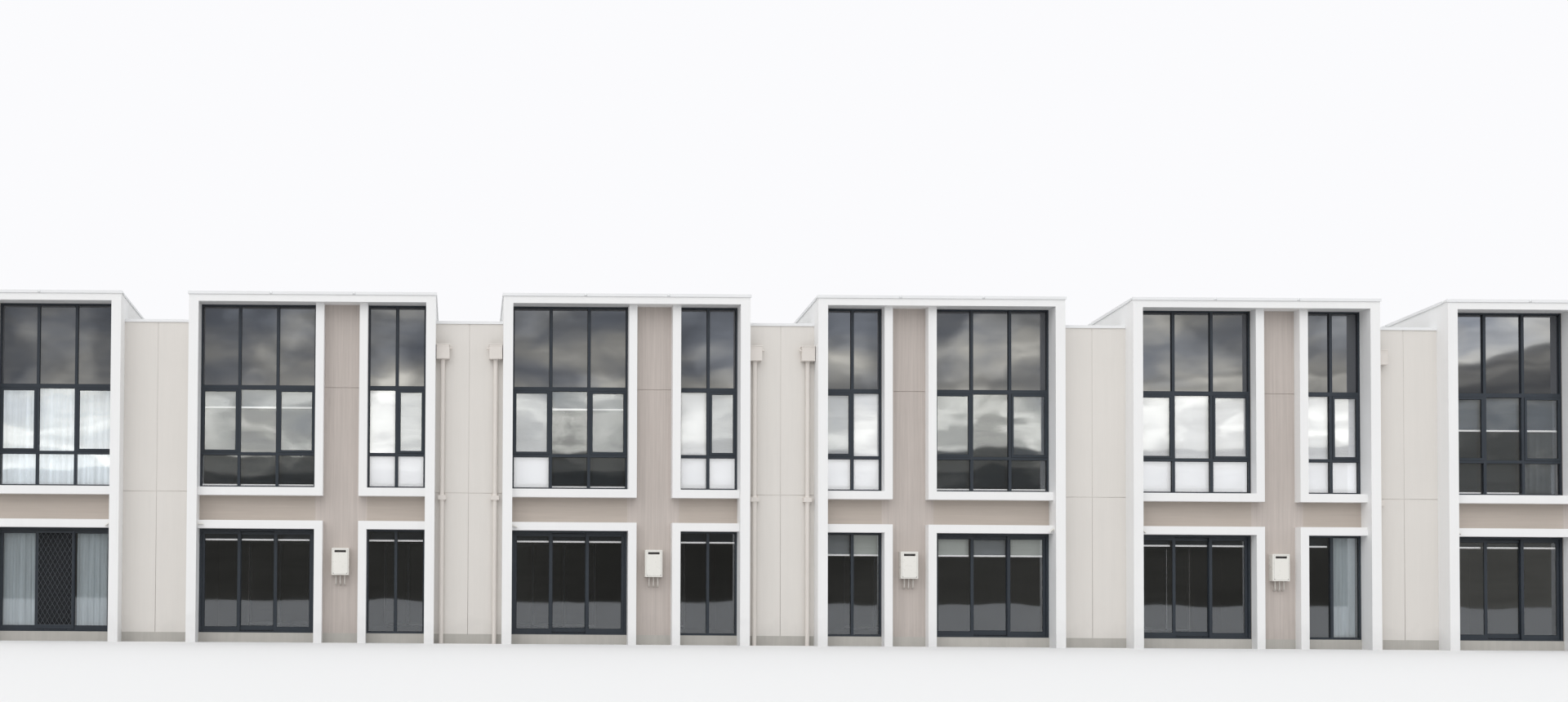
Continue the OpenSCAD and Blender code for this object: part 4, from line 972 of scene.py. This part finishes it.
def blinds(name, storey, low, high, material):
    """Blinds in the given boxes: the cloth hangs from the front of a tube at the top into a bar at the foot."""
    front = low[:, 1] + FRONT_IN
    cloth_low = low + (CLOTH_IN, 0, BAR_H / 2)
    cloth_high = high - (CLOTH_IN, 0, TUBE_DOWN)
    phase = np.arange(len(low))[:, None, None] * 1.7

    def curl(x, z):
        """The cloth cups by a millimetre or two towards its edges and ripples a little down its length."""
        across = (x - x.mean(2, keepdims=True)) / np.ptp(x, axis=2).max()
        return CUP * (2 * across) ** 2 + RIPPLE * np.sin(RIPPLES * z + phase)

    tube_start = spots(low[:, 0] + TUBE_IN, front + TUBE_R, high[:, 2] - TUBE_DOWN)
    tubes.append(prisms(TUBE_R * circle(16), tube_start, tube_start + (high - low - 2 * TUBE_IN) * (1, 0, 0)))
    bars[storey].append(blocks((low[:, 0] + BAR_IN, high[:, 0] - BAR_IN), past(front, BAR_Y),
                               past(low[:, 2], (0, BAR_H))))
    return cloth(name, cloth_panels(cloth_low, cloth_high, front, wave=curl), material,
                 thickness=0.0005)


HOUSE_W = 6.5
ROW_START_X = -19.5
GREY_DROP = 1.2
DEEP_DROP = 0.75
FOURTH_HOUSE = 3
FOURTH_HOUSE_GREY = ((0.7, 1.4), (3.8, 4.5))


def hang_blinds(node_name, storey, cloth_of):
    """Makes one piece for all blinds of a house that have one drop, depth and cloth, and hides the CAD solids.
    The half-raised blinds of the sixth house get one more beside them, in front of the curtain there.
    cloth_of gives the number of a blind's cloth from its house, drop, lane and place in the house."""
    low, high = solids(node_name)
    if storey == "upper":
        deep = np.flatnonzero(np.isclose((high - low)[:, 2], DEEP_DROP))
        step = low[deep[1]] - low[deep[0]]
        low, high = np.vstack([low, low[deep[1]] + step]), np.vstack([high, high[deep[1]] + step])
    from_left = (low[:, 0] + high[:, 0]) / 2 - ROW_START_X
    house = from_left // HOUSE_W
    drop = (high - low)[:, 2].round(2)
    lane = np.unique(low[:, 1].round(3), return_inverse=True)[1].reshape(-1)
    weave = cloth_of(house, drop, lane, from_left % HOUSE_W)
    kinds = np.stack([house, drop, lane, low[:, 2].round(2), weave], 1)
    for number, kind in enumerate(np.unique(kinds, axis=0)):
        chosen = (kinds == kind).all(1)
        piece = blinds("%s_blind_%d_%d" % (storey, kind[0] + 1, number), storey, low[chosen], high[chosen],
                       CLOTHS[int(kind[4])])
        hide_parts(node_name)


def upper_cloth(house, drop, lane, place):
    """White cloth, but grey where the blind is half raised, and dark in the lane behind."""
    return np.where(lane == 1, DARK, np.where(drop < GREY_DROP, GREY, WHITE))


def ground_cloth(house, drop, lane, place):
    """Dark cloth, but pale cloth in the fourth house, where two panes have grey."""
    in_grey = np.any([(place > start) & (place < end) for start, end in FOURTH_HOUSE_GREY], axis=0)
    return np.where(house == FOURTH_HOUSE, np.where(in_grey, MID_GREY, PALE), DARK)


hang_blinds("upper_blinds", "upper", upper_cloth)
hang_blinds("ground_blinds", "ground", ground_cloth)
hang_blinds("rear_blinds", "rear", lambda house, *others: np.full(len(house), REAR))
shell("blind_tubes", together(*tubes), rail_metal, crisp=True)
shell("blind_bars", together(*bars["upper"], *bars["ground"]), bar_metal_painted_glow, bevel=0.003)
shell("rear_blind_bars", together(*bars["rear"]), rail_metal, bevel=0.003)

# Sheer curtains.
# Thin white voile, cut about a fifth wider than its window, hangs in soft upright folds from a track at the
# head.


def voile(name, colour, strength, alpha, even=0.0):
    """Thin cloth with upright streaks of tone that paint the shade and light of its folds, and a painted glow like
    the blinds', which follows the streaks.
    """
    material, tree, shader = new_material(name, {"Roughness": 0.95, "Alpha": alpha})
    # Painted shade and light: darker and lighter upright streaks for the folds.
    folds = noise_tone(tree, 0.80, 1.06, 9.0, 3.0, (1, 1, 0.06))
    shade(tree, shader, colour, folds)
    glow(tree, shader, colour, product(tree, painted_glow_by_height(tree, even), product(tree, folds, strength)))
    return material


FOLD_PITCH = 0.125
POINTS_A_FOLD = 14
CURTAIN_ROWS = 31
TRACK_HALF_W = 0.012
TRACK_H = 0.014
SIDE_GAP, DEPTH_GAP, CLIP_GAP = 0.015, 0.003, 0.002
UPSTAIRS_Z = 2.5
bright_voile = voile("sheer_voile", linear(232, 238, 242), 0.50, 0.90, 0.31)
ground_voile = voile("ground_voile", linear(214, 224, 228), 0.5, 0.86)
# Painted shade: a darker copy of the white voile, with less painted glow, for the upper curtains of the three houses
# on the right.
dim_voile = voile("dim_voile", linear(150, 158, 166), 0.1, 0.40)
low, high = solids("curtains")
middle_y = (low + high)[:, 1] / 2
tracks = blocks((low[:, 0], high[:, 0]), around(middle_y, TRACK_HALF_W), (high[:, 2] - TRACK_H, high[:, 2]))
shell("curtain_tracks", tracks, rail_metal, bevel=0.002)
for number, (corner, far_corner) in enumerate(zip(low, high), 1):
    # The phase of the folds runs along the track, swayed by two slow sines and leaning a little down the drop.
    # The cloth's depth is its sine, and its place across is drawn back by the sine of twice the phase.
    width, deep, drop = far_corner - corner - (2 * SIDE_GAP, 2 * DEPTH_GAP, TRACK_H)
    folds_across = max(3, round(width / FOLD_PITCH))
    u = np.linspace(0, 1, folds_across * POINTS_A_FOLD + 1)
    v = np.linspace(0, 1, CURTAIN_ROWS)[:, None]
    sway = 0.9 * np.sin(6.3 * u * width + 1.9 * number) + 0.5 * np.sin(14.2 * u * width + 2.3 * number)
    phase = 2 * math.pi * folds_across * u + sway + 0.45 * np.sin(2.2 * v + 5 * u)
    swell = (0.62 + 0.38 * (1 - v)) * (0.80 + 0.20 * np.sin(11 * u * width + number))
    x = corner[0] + SIDE_GAP + width * u - 0.07 * FOLD_PITCH * np.sin(2 * phase)
    x = np.clip(x, corner[0] + CLIP_GAP, far_corner[0] - CLIP_GAP)
    y = (corner[1] + far_corner[1]) / 2 + deep / 2 * swell * np.sin(phase)
    points = np.stack(np.broadcast_arrays(x, y, corner[2] + drop * v), -1)
    sheer = ground_voile if corner[2] < UPSTAIRS_Z else bright_voile if corner[0] < 0 else dim_voile
    curtain = cloth("curtain_%d" % number, grids(points[None]), sheer,
                    thickness=0.0004)
    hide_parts("curtains")
